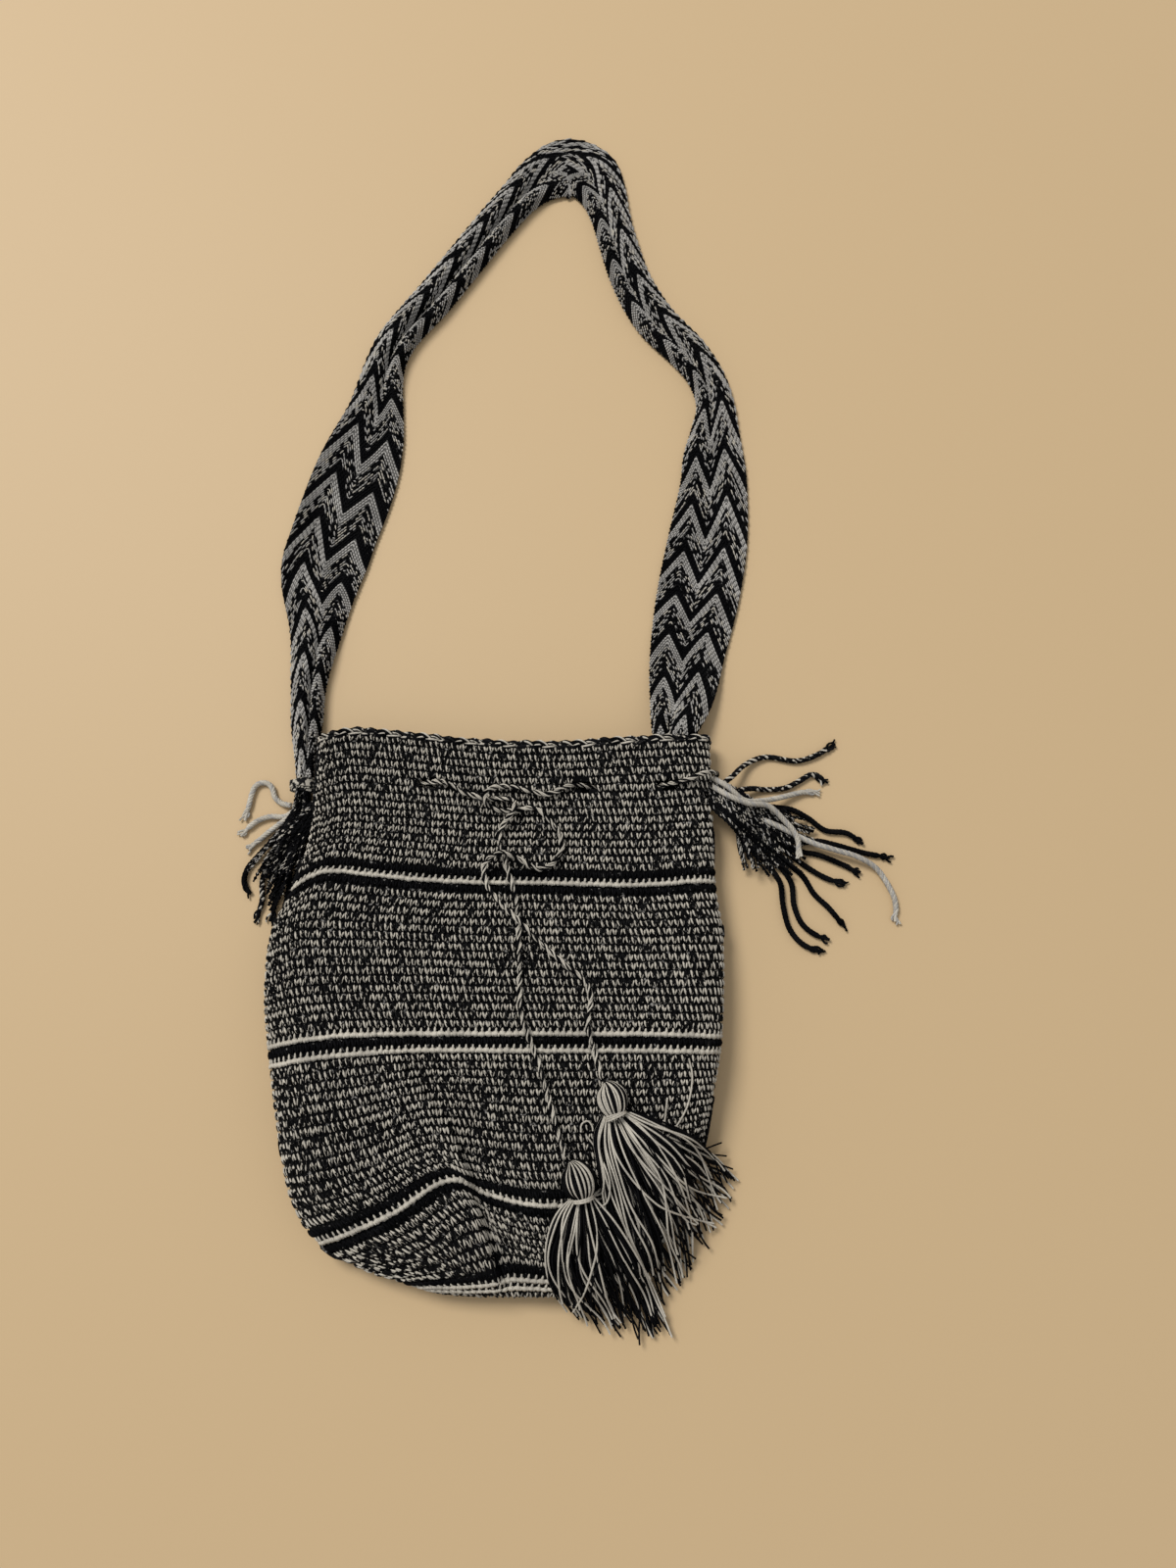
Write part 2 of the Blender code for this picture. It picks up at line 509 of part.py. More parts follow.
def resample_loop(loop, count):
    pts = np.array([tuple(p) for p in loop] + [tuple(loop[0])])
    length = np.concatenate([[0], np.cumsum(np.linalg.norm(np.diff(pts, axis=0), axis=1))])
    at = np.linspace(0, length[-1], count, endpoint=False)
    return [Vector([np.interp(t, length, pts[:, k]) for k in range(3)]) for t in at]


def band_section(b, width, gather):
    """Where the band's own width b lands: flat up to the visible width, then folded underneath."""
    total = BAND * gather
    b = b * gather
    radius = float(np.interp(gather, (0.3, 1.0), (1.5, FOLD_RADIUS)))
    flat = width - radius * min(max((total - width) / (radius * (math.pi / 2 - 1)), 0), 1)
    under = max(total - flat, 0)
    if b <= flat:
        return b, 0.0, under, radius
    turn = (b - flat) / radius
    if turn <= math.pi:
        return flat + radius * math.sin(turn), -radius * (1 - math.cos(turn)), under, radius
    return flat - (b - flat - math.pi * radius), -2 * radius, under, radius


def total_over(width, gather):
    """Whether the band is wider than what shows of it, so that an edge is folded under."""
    return BAND * gather > width


def strap_rows(length):
    """Places along the strap where a row of facets starts, with its zigzag, and the colours between."""
    rows = [(place, 0.0, 0) for place in np.arange(0, PLAIN_END, PLAIN_STEP)]
    for tip in TIPS_LEFT:
        valley = tip - ZIGZAG
        rows.append((valley - PALE_LINE, ZIGZAG, 2))
        rows.append((valley, ZIGZAG, 1))
        rows.append((valley + BLACK_LINE, ZIGZAG, 0))
    for tip in TIPS_RIGHT:
        valley = tip + ZIGZAG
        rows.append((valley - BLACK_LINE, -ZIGZAG, 1))
        rows.append((valley, -ZIGZAG, 2))
        rows.append((valley + PALE_LINE, -ZIGZAG, 0))
    rows += [(length - place, 0.0, 0) for place in np.arange(0, PLAIN_END - PLAIN_STEP * 2, PLAIN_STEP)[::-1]]
    return [(place, zig) for place, zig, _ in rows], [slot for _, _, slot in rows[:-1]]


def build_strap(parts, mats):
    path = smooth_curve(STRAP, 2.0)
    xyz = path[:, :3].copy()
    length = np.concatenate([[0], np.cumsum(np.linalg.norm(np.diff(xyz[:, :2], axis=0), axis=1))])
    tangent = np.gradient(xyz[:, :2], axis=0)
    tangent = tangent / np.linalg.norm(tangent, axis=1)[:, None]
    rows, strips = strap_rows(length[-1])

    def at(a, column):
        return np.interp(np.clip(a, 0, length[-1]), length, column)

    rings = []
    for place, zig in rows:
        section = []
        for k in range(POINTS_ACROSS):
            b = BAND * k / (POINTS_ACROSS - 1)
            quarter = (b / BAND * 4) % 2
            peak = quarter if quarter <= 1 else 2 - quarter
            a = place + zig * peak
            width, gather = at(a, path[:, 3]), at(a, path[:, 4])
            p, q, under, radius = band_section(b, width, gather)
            span = min(width, BAND * gather)
            low = radius * (1 - math.cos(min(under / radius, math.pi))) if total_over(width, gather) else 0
            t = np.array([at(a, tangent[:, 0]), at(a, tangent[:, 1])])
            t = t / np.linalg.norm(t)
            normal = np.array([t[1], -t[0]])
            spot = np.array([at(a, xyz[:, 0]), at(a, xyz[:, 1])]) + normal * (span / 2 - p)
            section.append((spot[0], spot[1], at(a, xyz[:, 2]) + BAND_THICK / 2 + low + q))
        rings.append(section)
    band = loft("strap_band", rings, parts, mats, closed=False, paint=lambda i, j: strips[i])
    add_modifier(band, "SOLIDIFY", thickness=BAND_THICK * MM, offset=0.0, use_even_offset=False)
    return band


def support_height(x, y):
    """Height of what lies under a tassel or the drawstring: the front wall, or the air beside it."""
    around = [(x + dx, y + dy) for dx in (-5, 0, 5) for dy in (-5, 0, 5)]
    inside = [front_height(a, b) for a, b in around if inside_depth(a, b) > 0 and b < -50]
    return max(inside) if inside else side_height(y) * 0.9


def string_height(x, y, place, lift):
    """Height of the drawstring's centre line for each way it can run at the neck."""
    clear = STRING / 2 + 0.7
    heights = {
        "over": support_height(x, y) + clear - 0.1 + lift,
        "wall_front": front_height(x, y) - WALL / 2,
        "in_front": front_height(x, y) - WALL - clear,
        "in_side": side_height(y) + 0.8,
        "in_back": back_height(x, y) + WALL + clear,
        "wall_back": back_height(x, y) + WALL / 2,
        "under": back_height(x, y) - clear + 0.3,
        "beside": side_height(y) + lift,
    }
    return heights[place]


def cord(name, points, diameter, parts, mat):
    """A plain round cord along points that lie a few diameters apart."""
    curve = bpy.data.curves.new(name, "CURVE")
    curve.dimensions = "3D"
    curve.bevel_depth = diameter / 2 * MM
    curve.bevel_resolution = 2
    curve.use_fill_caps = True
    spline = curve.splines.new("POLY")
    spline.points.add(len(points) - 1)
    for point, place in zip(spline.points, points):
        point.co = (*placed(place), 1.0)
    return new_object(name, curve, parts, [mat])


def build_drawstring(parts, mat):
    route = []
    for x, y, place, lift in STRING_ROUTE:
        route.append((x, y, string_height(x, y, place, lift)))
    return cord("drawstring", curve_through(route, STRING_STEP), STRING, parts, mat)


def build_fringes(parts, mats):
    heather, black, pale = mats
    colours = {"a": heather, "b": heather, "c": pale, "d": pale, "h": pale}
    colours_left = {"a": pale, "b": pale, "c": pale, "e": heather}
    for side, cords, paints in (("right", FRINGE_RIGHT, colours), ("left", FRINGE_LEFT, colours_left)):
        for letter, route in cords.items():
            lying = [(x, y, z + FRINGE / 2 + 0.2) for x, y, z in route]
            cord(f"fringe_{side}_{letter}", smooth_curve(lying, FRINGE_STEP), FRINGE, parts,
                 paints.get(letter, black))


def build_tassel(name, stations, parts, slots):
    """Head, neck and spread skirt of a yarn tassel that lies on the bag."""
    centres = np.array([(s[0], s[1]) for s in stations], float)
    directions = np.gradient(centres, axis=0)
    rings = []
    for (x, y, half, height, lift), (dx, dy) in zip(stations, directions):
        size = math.hypot(dx, dy)
        side = (-dy / size, dx / size)
        section = []
        for k in range(TASSEL_SIDES):
            a = 2 * math.pi * k / TASSEL_SIDES
            flute = 1.0 + 0.07 * math.cos(TASSEL_FLUTES * a)
            off = half * math.cos(a) * flute
            px, py = x + side[0] * off, y + side[1] * off
            base = support_height(px, py) if half > 8 else support_height(x, y)
            pz = base + lift + 0.4 + height / 2 * (1 + math.sin(a) * flute)
            section.append((px, py, pz))
        rings.append(section)
    return loft(name, rings, parts, slots)


def build_wrap(name, centre, turn, half_wide, half_high, long, thick, square, parts, slots):
    """Three turns of yarn pulled tight round a bundle, as one ridged sleeve."""
    axis = Vector((math.cos(math.radians(turn)), math.sin(math.radians(turn)), 0))
    side = Vector((-axis.y, axis.x, 0))
    rings = []
    steps = 4
    for i in range(steps + 1):
        ridge = 0.45 if i % 2 else 0.0
        place = Vector(centre) + axis * long * (i / steps - 0.5)
        section = []
        for k in range(WRAP_SIDES):
            a = 2 * math.pi * k / WRAP_SIDES
            across = math.copysign(abs(math.cos(a))**square, math.cos(a)) * (half_wide + ridge)
            rise = math.copysign(abs(math.sin(a))**square, math.sin(a)) * (half_high + ridge)
            section.append(tuple(place + side * across + Vector((0, 0, rise))))
        rings.append(section)
    wrap = loft(name, rings, parts, slots, caps=(False, False))
    add_modifier(wrap, "SOLIDIFY", thickness=thick * MM, offset=1.0, use_even_offset=False)
    return wrap


def build_tassels(parts, mats):
    heather, _, pale = mats
    for name, stations in TASSELS.items():
        build_tassel(f"{name}_yarn", stations, parts, [heather])
        x, y, half, height, lift = stations[BINDING_STATION]
        nx, ny = stations[BINDING_STATION + 1][:2]
        turn = math.degrees(math.atan2(ny - y, nx - x))
        under = (support_height(x, y) + support_height(nx, ny)) / 2
        middle = ((x + nx) / 2, (y + ny) / 2, under + lift + 0.4 + height / 2)
        radius = half * 1.07 + GAP + 0.2
        build_wrap(f"{name}_binding", middle, turn, radius, radius, BINDING_LONG, BINDING_THICK,
                   1.0, parts, [pale])


def build_lashings(parts, mats):
    for name, (x, y, z, turn, wide, high) in LASHINGS.items():
        build_wrap(name, (x, y, z), turn, wide, high, LASHING_LONG, LASHING_THICK,
                   LASHING_SQUARE, parts, [mats[0]])


def main():
    clear_scene()
    scene = bpy.context.scene
    parts = bpy.data.collections.new("crocheted_bag")
    cutters = bpy.data.collections.new("cutters")
    scene.collection.children.link(parts)
    scene.collection.children.link(cutters)
    mats = [material(f"yarn_{name}", COLOURS[name]) for name in ("heather", "black", "pale")]
    build_bag(parts, cutters, mats)
    build_strap(parts, mats)
    build_lashings(parts, mats)
    build_drawstring(parts, mats[0])
    build_tassels(parts, mats)
    build_fringes(parts, mats)


main()
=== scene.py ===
# %% [markdown]
# # A crocheted shoulder bag, laid out on the floor
# The bag on the real object is crocheted in one piece from marled yarn, with thin black and pale stripes.
# A woven strap with double chevrons is laid out above it, a twisted drawstring closes its mouth, and two
# yarn tassels lie on its front. This lesson dresses the plain solids of the model with real yarn: stitches,
# plies, chevrons and loose threads. The first cell loads the solids, which give every place and size.

import math

import bmesh
import bpy
import numpy as np
from mathutils import Matrix, Vector


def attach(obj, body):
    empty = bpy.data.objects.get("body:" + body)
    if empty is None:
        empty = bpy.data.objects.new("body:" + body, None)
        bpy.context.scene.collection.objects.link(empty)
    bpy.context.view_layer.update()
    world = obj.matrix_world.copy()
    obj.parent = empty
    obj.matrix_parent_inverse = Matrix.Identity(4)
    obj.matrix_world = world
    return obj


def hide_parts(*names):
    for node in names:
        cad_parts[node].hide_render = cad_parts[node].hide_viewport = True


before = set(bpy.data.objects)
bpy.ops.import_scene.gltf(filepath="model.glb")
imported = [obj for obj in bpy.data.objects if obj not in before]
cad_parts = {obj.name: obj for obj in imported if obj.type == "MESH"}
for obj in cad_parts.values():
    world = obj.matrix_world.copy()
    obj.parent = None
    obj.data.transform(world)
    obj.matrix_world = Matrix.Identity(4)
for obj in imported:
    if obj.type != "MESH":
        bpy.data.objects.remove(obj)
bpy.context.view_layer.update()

# %% [markdown]
# ## Units and chance
# Yarn is easiest to think about in millimetres, so every list below is in millimetres, measured from the
# same point as the solids were drawn. One helper turns such a place into the scene's metres. Handwork is
# never perfectly even, so many steps ask for a little chance: one seeded generator gives it, and the
# scene comes out the same each time.

# %% Millimetres and a seeded generator
MM = 0.001
CENTRE = np.array([2.55, -0.35, 0.0])
chance = np.random.default_rng(41)


def placed(points):
    """Places in millimetres as metres in the scene."""
    return (np.asarray(points, float) - CENTRE) * MM


def mix(a, b, t):
    return a + (b - a) * t


print("a point of the drawing in metres:", placed((0, 0, 0)))

# %% [markdown]
# ## The camera
# The picture was taken from above, with the camera tilted twelve degrees. Its place, tilt and lens were
# worked out from the square floor tiles, so here they are simply set. A lens of 27 mm on a 36 mm sensor
# fits the longer side of the picture.

# %% Camera
camera = bpy.data.objects.new("camera", bpy.data.cameras.new("camera"))
camera.data.lens = 27.045
camera.data.sensor_width = 36.0
camera.data.clip_end = 20.0
camera.location = (0.03165, -0.19335, 0.589)
camera.rotation_euler = (math.radians(12.08), 0.0, 0.0)
bpy.context.scene.collection.objects.link(camera)
bpy.context.scene.camera = camera
print("camera at", tuple(camera.location))

# %% [markdown]
# ## A class for shader sums
# Materials are networks of nodes. Writing each node by hand hides the idea, so one small class wraps a
# socket: adding, multiplying or comparing two of them adds a Math node. Every other node comes from the
# method `node`, which takes the node's type, its settings and what goes into its sockets.

# %% Shader helper
class Wire:
    """A value that flows through a material."""

    def __init__(self, tree, socket=None):
        self.tree = tree
        self.socket = socket

    def node(self, kind, settings=None, output=0, **inputs):
        made = self.tree.nodes.new(kind)
        for key, value in (settings or {}).items():
            setattr(made, key, value)
        for key, value in inputs.items():
            name = key.replace("_", " ")
            socket = made.inputs[int(key[1:])] if key[1:].isdigit() else made.inputs[name]
            self.plug(socket, value)
        return Wire(self.tree, made.outputs[output])

    def plug(self, socket, value):
        if isinstance(value, Wire):
            self.tree.links.new(value.socket, socket)
        else:
            socket.default_value = value

    def math(self, operation, *values):
        return self.node("ShaderNodeMath", {"operation": operation},
                         **{f"i{k}": value for k, value in enumerate(values)})

    def __add__(self, other):
        return self.math("ADD", self, other)

    __radd__ = __add__

    def __mul__(self, other):
        return self.math("MULTIPLY", self, other)

    __rmul__ = __mul__

    def __sub__(self, other):
        return self.math("SUBTRACT", self, other)

    def __rsub__(self, other):
        return self.math("SUBTRACT", other, self)

    def fraction(self):
        return self.math("FRACT", self)

    def wave(self):
        """A wave that rises and falls once as the value grows by one."""
        return self.math("SINE", self * (2 * math.pi))

    def step(self, low, high):
        """0 below low, 1 above high, smooth between."""
        return self.node("ShaderNodeMapRange", {"interpolation_type": "SMOOTHSTEP"},
                         Value=self, From_Min=low, From_Max=high)

    def blend(self, first, second):
        """This value mixes one colour into another."""
        return self.node("ShaderNodeMix", {"data_type": "RGBA"}, output=2, i0=self, i6=first, i7=second)


def new_material(name, roughness=0.95, sheen=0.04):
    """A yarn material: the tree and its Principled shader, matt and a little fuzzy."""
    material = bpy.data.materials.new(name)
    material.use_nodes = True
    shader = material.node_tree.nodes["Principled BSDF"]
    shader.inputs["Roughness"].default_value = roughness
    shader.inputs["Sheen Weight"].default_value = sheen
    shader.inputs["Sheen Roughness"].default_value = 0.6
    shader.inputs["Specular IOR Level"].default_value = 0.03
    return material, shader, Wire(material.node_tree)


def add_bump(wire, shader, height, strength, distance):
    bump = wire.node("ShaderNodeBump", Height=height, Strength=strength, Distance=distance)
    wire.plug(shader.inputs["Normal"], bump)


print("shader helper ready")

# %% [markdown]
# ## Colours of the yarn
# The bag is made of a black yarn and a pale one the colour of undyed wool, and the strap's pale yarn is
# greyer. The mottled areas are both at once, twisted together. The pale yarn isn't one flat tone: its
# fibres catch dust and shade, so a fine noise moves it between two greys. The black is set darker than
# real yarn measures, because the photograph has strong contrast.

# %% Plain yarn materials
BLACK = (0.0018, 0.0018, 0.0022, 1.0)
BLACK_WORN = (0.007, 0.007, 0.008, 1.0)
PALE = (0.60, 0.56, 0.48, 1.0)
PALE_SHADE = (0.36, 0.335, 0.29, 1.0)
GREY = (0.47, 0.455, 0.43, 1.0)
GREY_SHADE = (0.28, 0.27, 0.255, 1.0)
# This dark grey is painted shade: the strap's grey yarn drawn dark on the cloth under its grains, so the gaps
# between them look shaded.
PAINTED_GAP_SHADE = (0.10, 0.098, 0.094, 1.0)


def plain_yarn(name, dark, light, sheen=0.04):
    """One colour of yarn, with fibres a fraction of a millimetre wide."""
    material, shader, wire = new_material(name, sheen=sheen)
    place = wire.node("ShaderNodeTexCoord", output=3)
    fibre = wire.node("ShaderNodeTexNoise", {"noise_dimensions": "3D"}, output=0, Vector=place, Scale=1500.0,
                      Detail=2.0, Roughness=0.6)
    worn = wire.node("ShaderNodeTexNoise", output=0, Vector=place, Scale=90.0, Detail=1.0)
    tone = (fibre * 0.7 + worn * 0.5).step(0.42, 0.78)
    wire.plug(shader.inputs["Base Color"], tone.blend(dark, light))
    add_bump(wire, shader, fibre, 0.35, 0.0002)
    return material


yarn_black = plain_yarn("yarn_black_fibres", BLACK, BLACK_WORN, 0.0)
yarn_pale = plain_yarn("yarn_pale_fibres", PALE_SHADE, PALE)
yarn_grey = plain_yarn("yarn_grey_fibres", GREY_SHADE, GREY)


def patchy_yarn(name, scale, low, high):
    """Black and pale plies that take turns on top, in patches a few millimetres long."""
    material, shader, wire = new_material(name)
    place = wire.node("ShaderNodeTexCoord", output=3)
    patch = wire.node("ShaderNodeTexNoise", output=0, Vector=place, Scale=scale, Detail=1.5, Roughness=0.6)
    fibre = wire.node("ShaderNodeTexNoise", output=0, Vector=place, Scale=1500.0, Detail=1.0)
    light = fibre.blend(PALE_SHADE, PALE)
    wire.plug(shader.inputs["Base Color"], patch.step(low, high).blend(BLACK_WORN, light))
    add_bump(wire, shader, fibre, 0.35, 0.0002)
    return material


yarn_mixed = patchy_yarn("yarn_mixed_fibres", 330.0, 0.50, 0.56)
print("yarns:", yarn_black.name, yarn_pale.name, yarn_grey.name, yarn_mixed.name)

# %% [markdown]
# ## Smooth lines
# A cord is drawn through a few measured places. A centripetal Catmull-Rom spline passes through them
# without loops, and reading it at even steps gives the many close points that a tube needs.

# %% Spline through measured places
def curve_spans(points, steps=24):
    """A curve through the places, with as many points in each span as steps says."""
    pts = np.array(points, float)
    ends = np.vstack([2 * pts[0] - pts[1], pts, 2 * pts[-1] - pts[-2]])
    knots = np.concatenate([[0], np.cumsum(np.sqrt(np.linalg.norm(np.diff(ends[:, :3], axis=0), axis=1)))])
    curve = []
    for i in range(1, len(ends) - 2):
        t0, t1, t2, t3 = knots[i - 1:i + 3]
        p0, p1, p2, p3 = ends[i - 1:i + 3]
        for t in np.linspace(t1, t2, steps, endpoint=False):
            a1 = (t1 - t) / (t1 - t0) * p0 + (t - t0) / (t1 - t0) * p1
            a2 = (t2 - t) / (t2 - t1) * p1 + (t - t1) / (t2 - t1) * p2
            a3 = (t3 - t) / (t3 - t2) * p2 + (t - t2) / (t3 - t2) * p3
            b1 = (t2 - t) / (t2 - t0) * a1 + (t - t0) / (t2 - t0) * a2
            b2 = (t3 - t) / (t3 - t1) * a2 + (t - t1) / (t3 - t1) * a3
            curve.append((t2 - t) / (t2 - t1) * b1 + (t - t1) / (t2 - t1) * b2)
    return np.array(curve + [pts[-1]])


def run_length(line):
    return np.concatenate([[0], np.cumsum(np.linalg.norm(np.diff(line, axis=0), axis=1))])


def evenly(line, spacing):
    """The line read at even steps, along its first three columns."""
    length = run_length(line[:, :3])
    at = np.linspace(0, length[-1], max(3, round(length[-1] / spacing) + 1))
    return np.array([np.interp(at, length, line[:, k]) for k in range(line.shape[1])]).T


def smooth_line(points, spacing):
    return evenly(curve_spans(points), spacing)


print("a bend of three places:", len(smooth_line([(0, 0, 0), (20, 5, 0), (30, 30, 0)], 1.0)), "points")

# %% [markdown]
# ## The lying bag as a surface
# Everything on the bag needs to know where its cloth is. The solids' source describes it by a table of
# crochet rows, an outline and a thickness at stations along the bag, so the same numbers are used here.
# A function then gives the height of the front or back wall at any place. Keys are blended with a
# monotone cubic, which never overshoots between two of them.

# %% Tables of the bag
COLUMNS = (-1.0, -0.8, -0.6, -0.26, -0.14, 0.2, 0.6, 1.0)
ROWS = (
    (0, -101.5, 95.5, (-49, -46, -47.5, -51, -52, -53, -50.5, -49)),
    (9, -102.5, 96.0, (-88, -83, -84.5, -87, -88, -88, -88, -86)),
    (18, -112.0, 96.5, (-125, -117, -119, -122, -122.5, -123, -124, -121)),
    (24, -121.0, 100.0, (-150, -144, -144.5, -146, -146.5, -147, -147.5, -146)),
    (30, -121.0, 99.5, (-176, -171, -170, -170, -170.5, -171, -171.5, -171)),
    (36.5, -117.0, 97.5, (-203, -199, -197, -196, -196, -196, -196, -197)),
    (44, -111.5, 93.0, (-238, -234, -230, -222.5, -223, -225, -225, -222)),
    (50, -104.0, 89.5, (-268, -263, -257, -244, -247, -250, -248, -240)),
    (55, -89.0, 85.5, (-289, -282, -274, -258, -265, -270.5, -269, -254)),
    (59, -70.0, 77.0, (-299, -294, -288, -274, -280, -285, -284, -274)),
    (63, -51.0, 65.0, (-304.5, -303, -301.5, -297.5, -296, -297.5, -297, -292)),
    (67, -35.0, 47.0, (-309.5, -310.5, -311.3, -312, -312, -312, -311.5, -308)),
)
OUTLINE = (
    (-101.5, -35), (-101.5, -60), (-102.5, -88), (-106, -107), (-112, -125), (-118.5, -138),
    (-121.5, -153), (-121, -180), (-117.5, -203), (-114, -225), (-110, -245), (-105, -266),
    (-97, -281), (-84, -292), (-67, -300.5), (-48, -306.5), (-30, -310.5), (-7, -312),
    (17, -312.3), (38, -311), (55, -304), (70, -289), (80, -270), (87, -247), (92, -226),
    (96, -208), (98.5, -190), (100, -165), (99.5, -140), (96.5, -115), (96, -80), (95.5, -35),
)
THICKNESS = ((-320, -300, -285, -250, -210, -170, -125, -85, -49), (17, 21, 24, 29, 31, 29.5, 24, 20, 19))
LIFT = ((-320, -125, -92, -40), (0, 0, 4.6, 4.6))
EDGE_ROUND = ((-320, -170, -100, -49), (34, 34, 15, 13))
BACK_ROUND = 9.0
SIDE_HEIGHT = 0.4
BASE_SAG = 3.0
CREASE = ((-66, -192), (-43, -217), (-29, -235), (-20, -256), (-15, -273), (-8, -296))
PANEL_RISE, VALLEY_DEPTH, PANEL_REACH, VALLEY_REACH = 4.5, 5.5, 30.0, 18.0
CROWN_POWER = 2.3               # more than 2 makes the front's edge fuller than a circle
FOLD_MARGIN = 16.0              # the fold fades to nothing over this distance from the outline
WALL = 3.0
print("crochet rows in the table:", ROWS[-1][0])

# %% Heights of the walls
def blend_keys(x, keys, values):
    keys = np.array(keys, float)
    values = np.array(values, float)
    i = int(np.clip(np.searchsorted(keys, x) - 1, 0, len(keys) - 2))
    h = np.diff(keys)
    slope = np.diff(values, axis=0) / h.reshape(-1, *([1] * (values.ndim - 1)))

    def tangent(k):
        if k in (0, len(keys) - 1):
            return slope[min(k, len(slope) - 1)]
        a, b = slope[k - 1], slope[k]
        mean = 2 * a * b / np.where(np.abs(a + b) < 1e-12, 1.0, a + b)
        return np.where(a * b > 0, mean, 0.0)

    t = np.clip((x - keys[i]) / h[i], 0.0, 1.0)
    return ((2 * t**3 - 3 * t**2 + 1) * values[i] + (t**3 - 2 * t**2 + t) * tangent(i) * h[i]
            + (3 * t**2 - 2 * t**3) * values[i + 1] + (t**3 - t**2) * tangent(i + 1) * h[i])


def line_distance(x, y, points):
    """Distance to a line of points, positive on its left."""
    p = np.array(points, float)
    a, d = p[:-1], np.diff(p, axis=0)
    t = np.clip(((x - a[:, 0]) * d[:, 0] + (y - a[:, 1]) * d[:, 1]) / (d**2).sum(1), 0, 1)
    near = a + d * t[:, None]
    gap = np.hypot(x - near[:, 0], y - near[:, 1])
    k = int(np.argmin(gap))
    side = d[k, 0] * (y - near[k, 1]) - d[k, 1] * (x - near[k, 0])
    return gap[k] if side > 0 else -gap[k]


OUTLINE_LINE = smooth_line([(x, y, 0) for x, y in OUTLINE], 4.0)[:, :2]


def side_height(y):
    lift = blend_keys(y, *LIFT)
    return lift + SIDE_HEIGHT * (blend_keys(y, *THICKNESS) - lift)


def back_height(x, y):
    lift = blend_keys(y, *LIFT)
    edge = min(max(line_distance(x, y, OUTLINE_LINE), 0) / BACK_ROUND, 1.0)
    return lift + (side_height(y) - lift) * (1 - math.sqrt(1 - (1 - edge)**2))


def fold_height(x, y):
    gap = line_distance(x, y, CREASE)
    start = np.clip((CREASE[0][1] + 10 - y) / 35, 0, 1)
    if gap < 0:
        return start * PANEL_RISE * min(1.0, 0.25 - gap / 5) * math.exp(gap / PANEL_REACH)
    return -start * VALLEY_DEPTH * math.exp(-(gap / VALLEY_REACH)**2)


def front_height(x, y):
    depth = max(line_distance(x, y, OUTLINE_LINE), 0)
    edge = min(depth / blend_keys(y, *EDGE_ROUND), 1.0)
    low, top = side_height(y), blend_keys(y, *THICKNESS)
    crown = low + (top - low) * math.sqrt(1 - (1 - edge)**CROWN_POWER)
    return crown + fold_height(x, y) * min(depth / FOLD_MARGIN, 1.0)


def row_height(row, across):
    line = blend_keys(row, [r[0] for r in ROWS], [r[3] for r in ROWS])
    return float(blend_keys(across, COLUMNS, line))


def straight_height(row, across):
    return float(np.interp(across, (-1, 1), (row_height(row, -1), row_height(row, 1))))


def wall_point(row, across, front):
    left, right = blend_keys(row, [r[0] for r in ROWS], [(r[1], r[2]) for r in ROWS])
    x = left + (right - left) * (across + 1) / 2
    y = row_height(row, across)
    if not front:
        above = min(row, 30)
        bow = row_height(above, across) - straight_height(above, across)
        y = straight_height(row, across) + bow * max(0, 1 - row / 60)
        y -= max(row - 60, 0) * BASE_SAG / 7 * (1 - across**2)
    if abs(across) > 0.9999:
        return x, y, side_height(y)
    return x, y, front_height(x, y) if front else back_height(x, y)


print("the front stands", round(float(front_height(0, -200)), 1), "mm high in its middle")

# %% [markdown]
# ## Plies of a cord
# The drawstring and the fringes are cords of black and pale strands twisted round each other. The
# real construction is followed: each strand is a tube whose centre turns round the cord's own line. A
# frame that is carried along the line without spinning keeps the twist even through every bend. The
# strands are splines of one curve object, with a round bevel, and the curve then becomes a mesh.

# %% Twisted cords
STRAND_SPACING = 1.0


def carried_frame(line):
    """Two directions across the line at each point, carried along without spinning."""
    tangents = np.gradient(line, axis=0)
    tangents /= np.linalg.norm(tangents, axis=1)[:, None]
    across = np.cross(tangents[0], (0.0, 0.0, 1.0))
    if np.linalg.norm(across) < 0.1:
        across = np.cross(tangents[0], (0.0, 1.0, 0.0))
    sides = []
    for t in tangents:
        across = across - t * across.dot(t)
        across /= np.linalg.norm(across)
        sides.append(across)
    sides = np.array(sides)
    return sides, np.cross(tangents, sides), tangents


def strand_lines(line, radius, pitch, angles, start=0.0):
    """The centre of each strand that turns round the line."""
    sides, ups, _ = carried_frame(line)
    turn = 2 * math.pi * run_length(line) / pitch + start
    return [line + radius * (np.cos(turn + a)[:, None] * sides + np.sin(turn + a)[:, None] * ups)
            for a in angles]


def riding_piece(name, mesh):
    """The mesh as an object of the scene that stays with the bag."""
    piece = bpy.data.objects.new(name, mesh)
    bpy.context.scene.collection.objects.link(piece)
    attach(piece, "root")
    return piece


def tubes(name, strands, materials):
    """A mesh of round tubes; a strand is its centre line, its radius or radii, and its material's number."""
    curve = bpy.data.curves.new(name, "CURVE")
    curve.dimensions = "3D"
    curve.bevel_depth = MM
    curve.bevel_resolution = 1
    curve.use_fill_caps = True
    for material in materials:
        curve.materials.append(material)
    for line, radii, number in strands:
        spline = curve.splines.new("POLY")
        spline.points.add(len(line) - 1)
        spots = np.hstack([placed(line), np.ones((len(line), 1))])
        spline.points.foreach_set("co", spots.ravel())
        spline.points.foreach_set("radius", np.broadcast_to(radii, len(line)).astype(float))
        spline.material_index = number
        spline.use_smooth = True
    shape = bpy.data.objects.new(name + "_line", curve)
    bpy.context.scene.collection.objects.link(shape)
    mesh = bpy.data.meshes.new_from_object(shape.evaluated_get(bpy.context.evaluated_depsgraph_get()))
    bpy.data.objects.remove(shape)
    mesh.name = name
    return riding_piece(name, mesh)


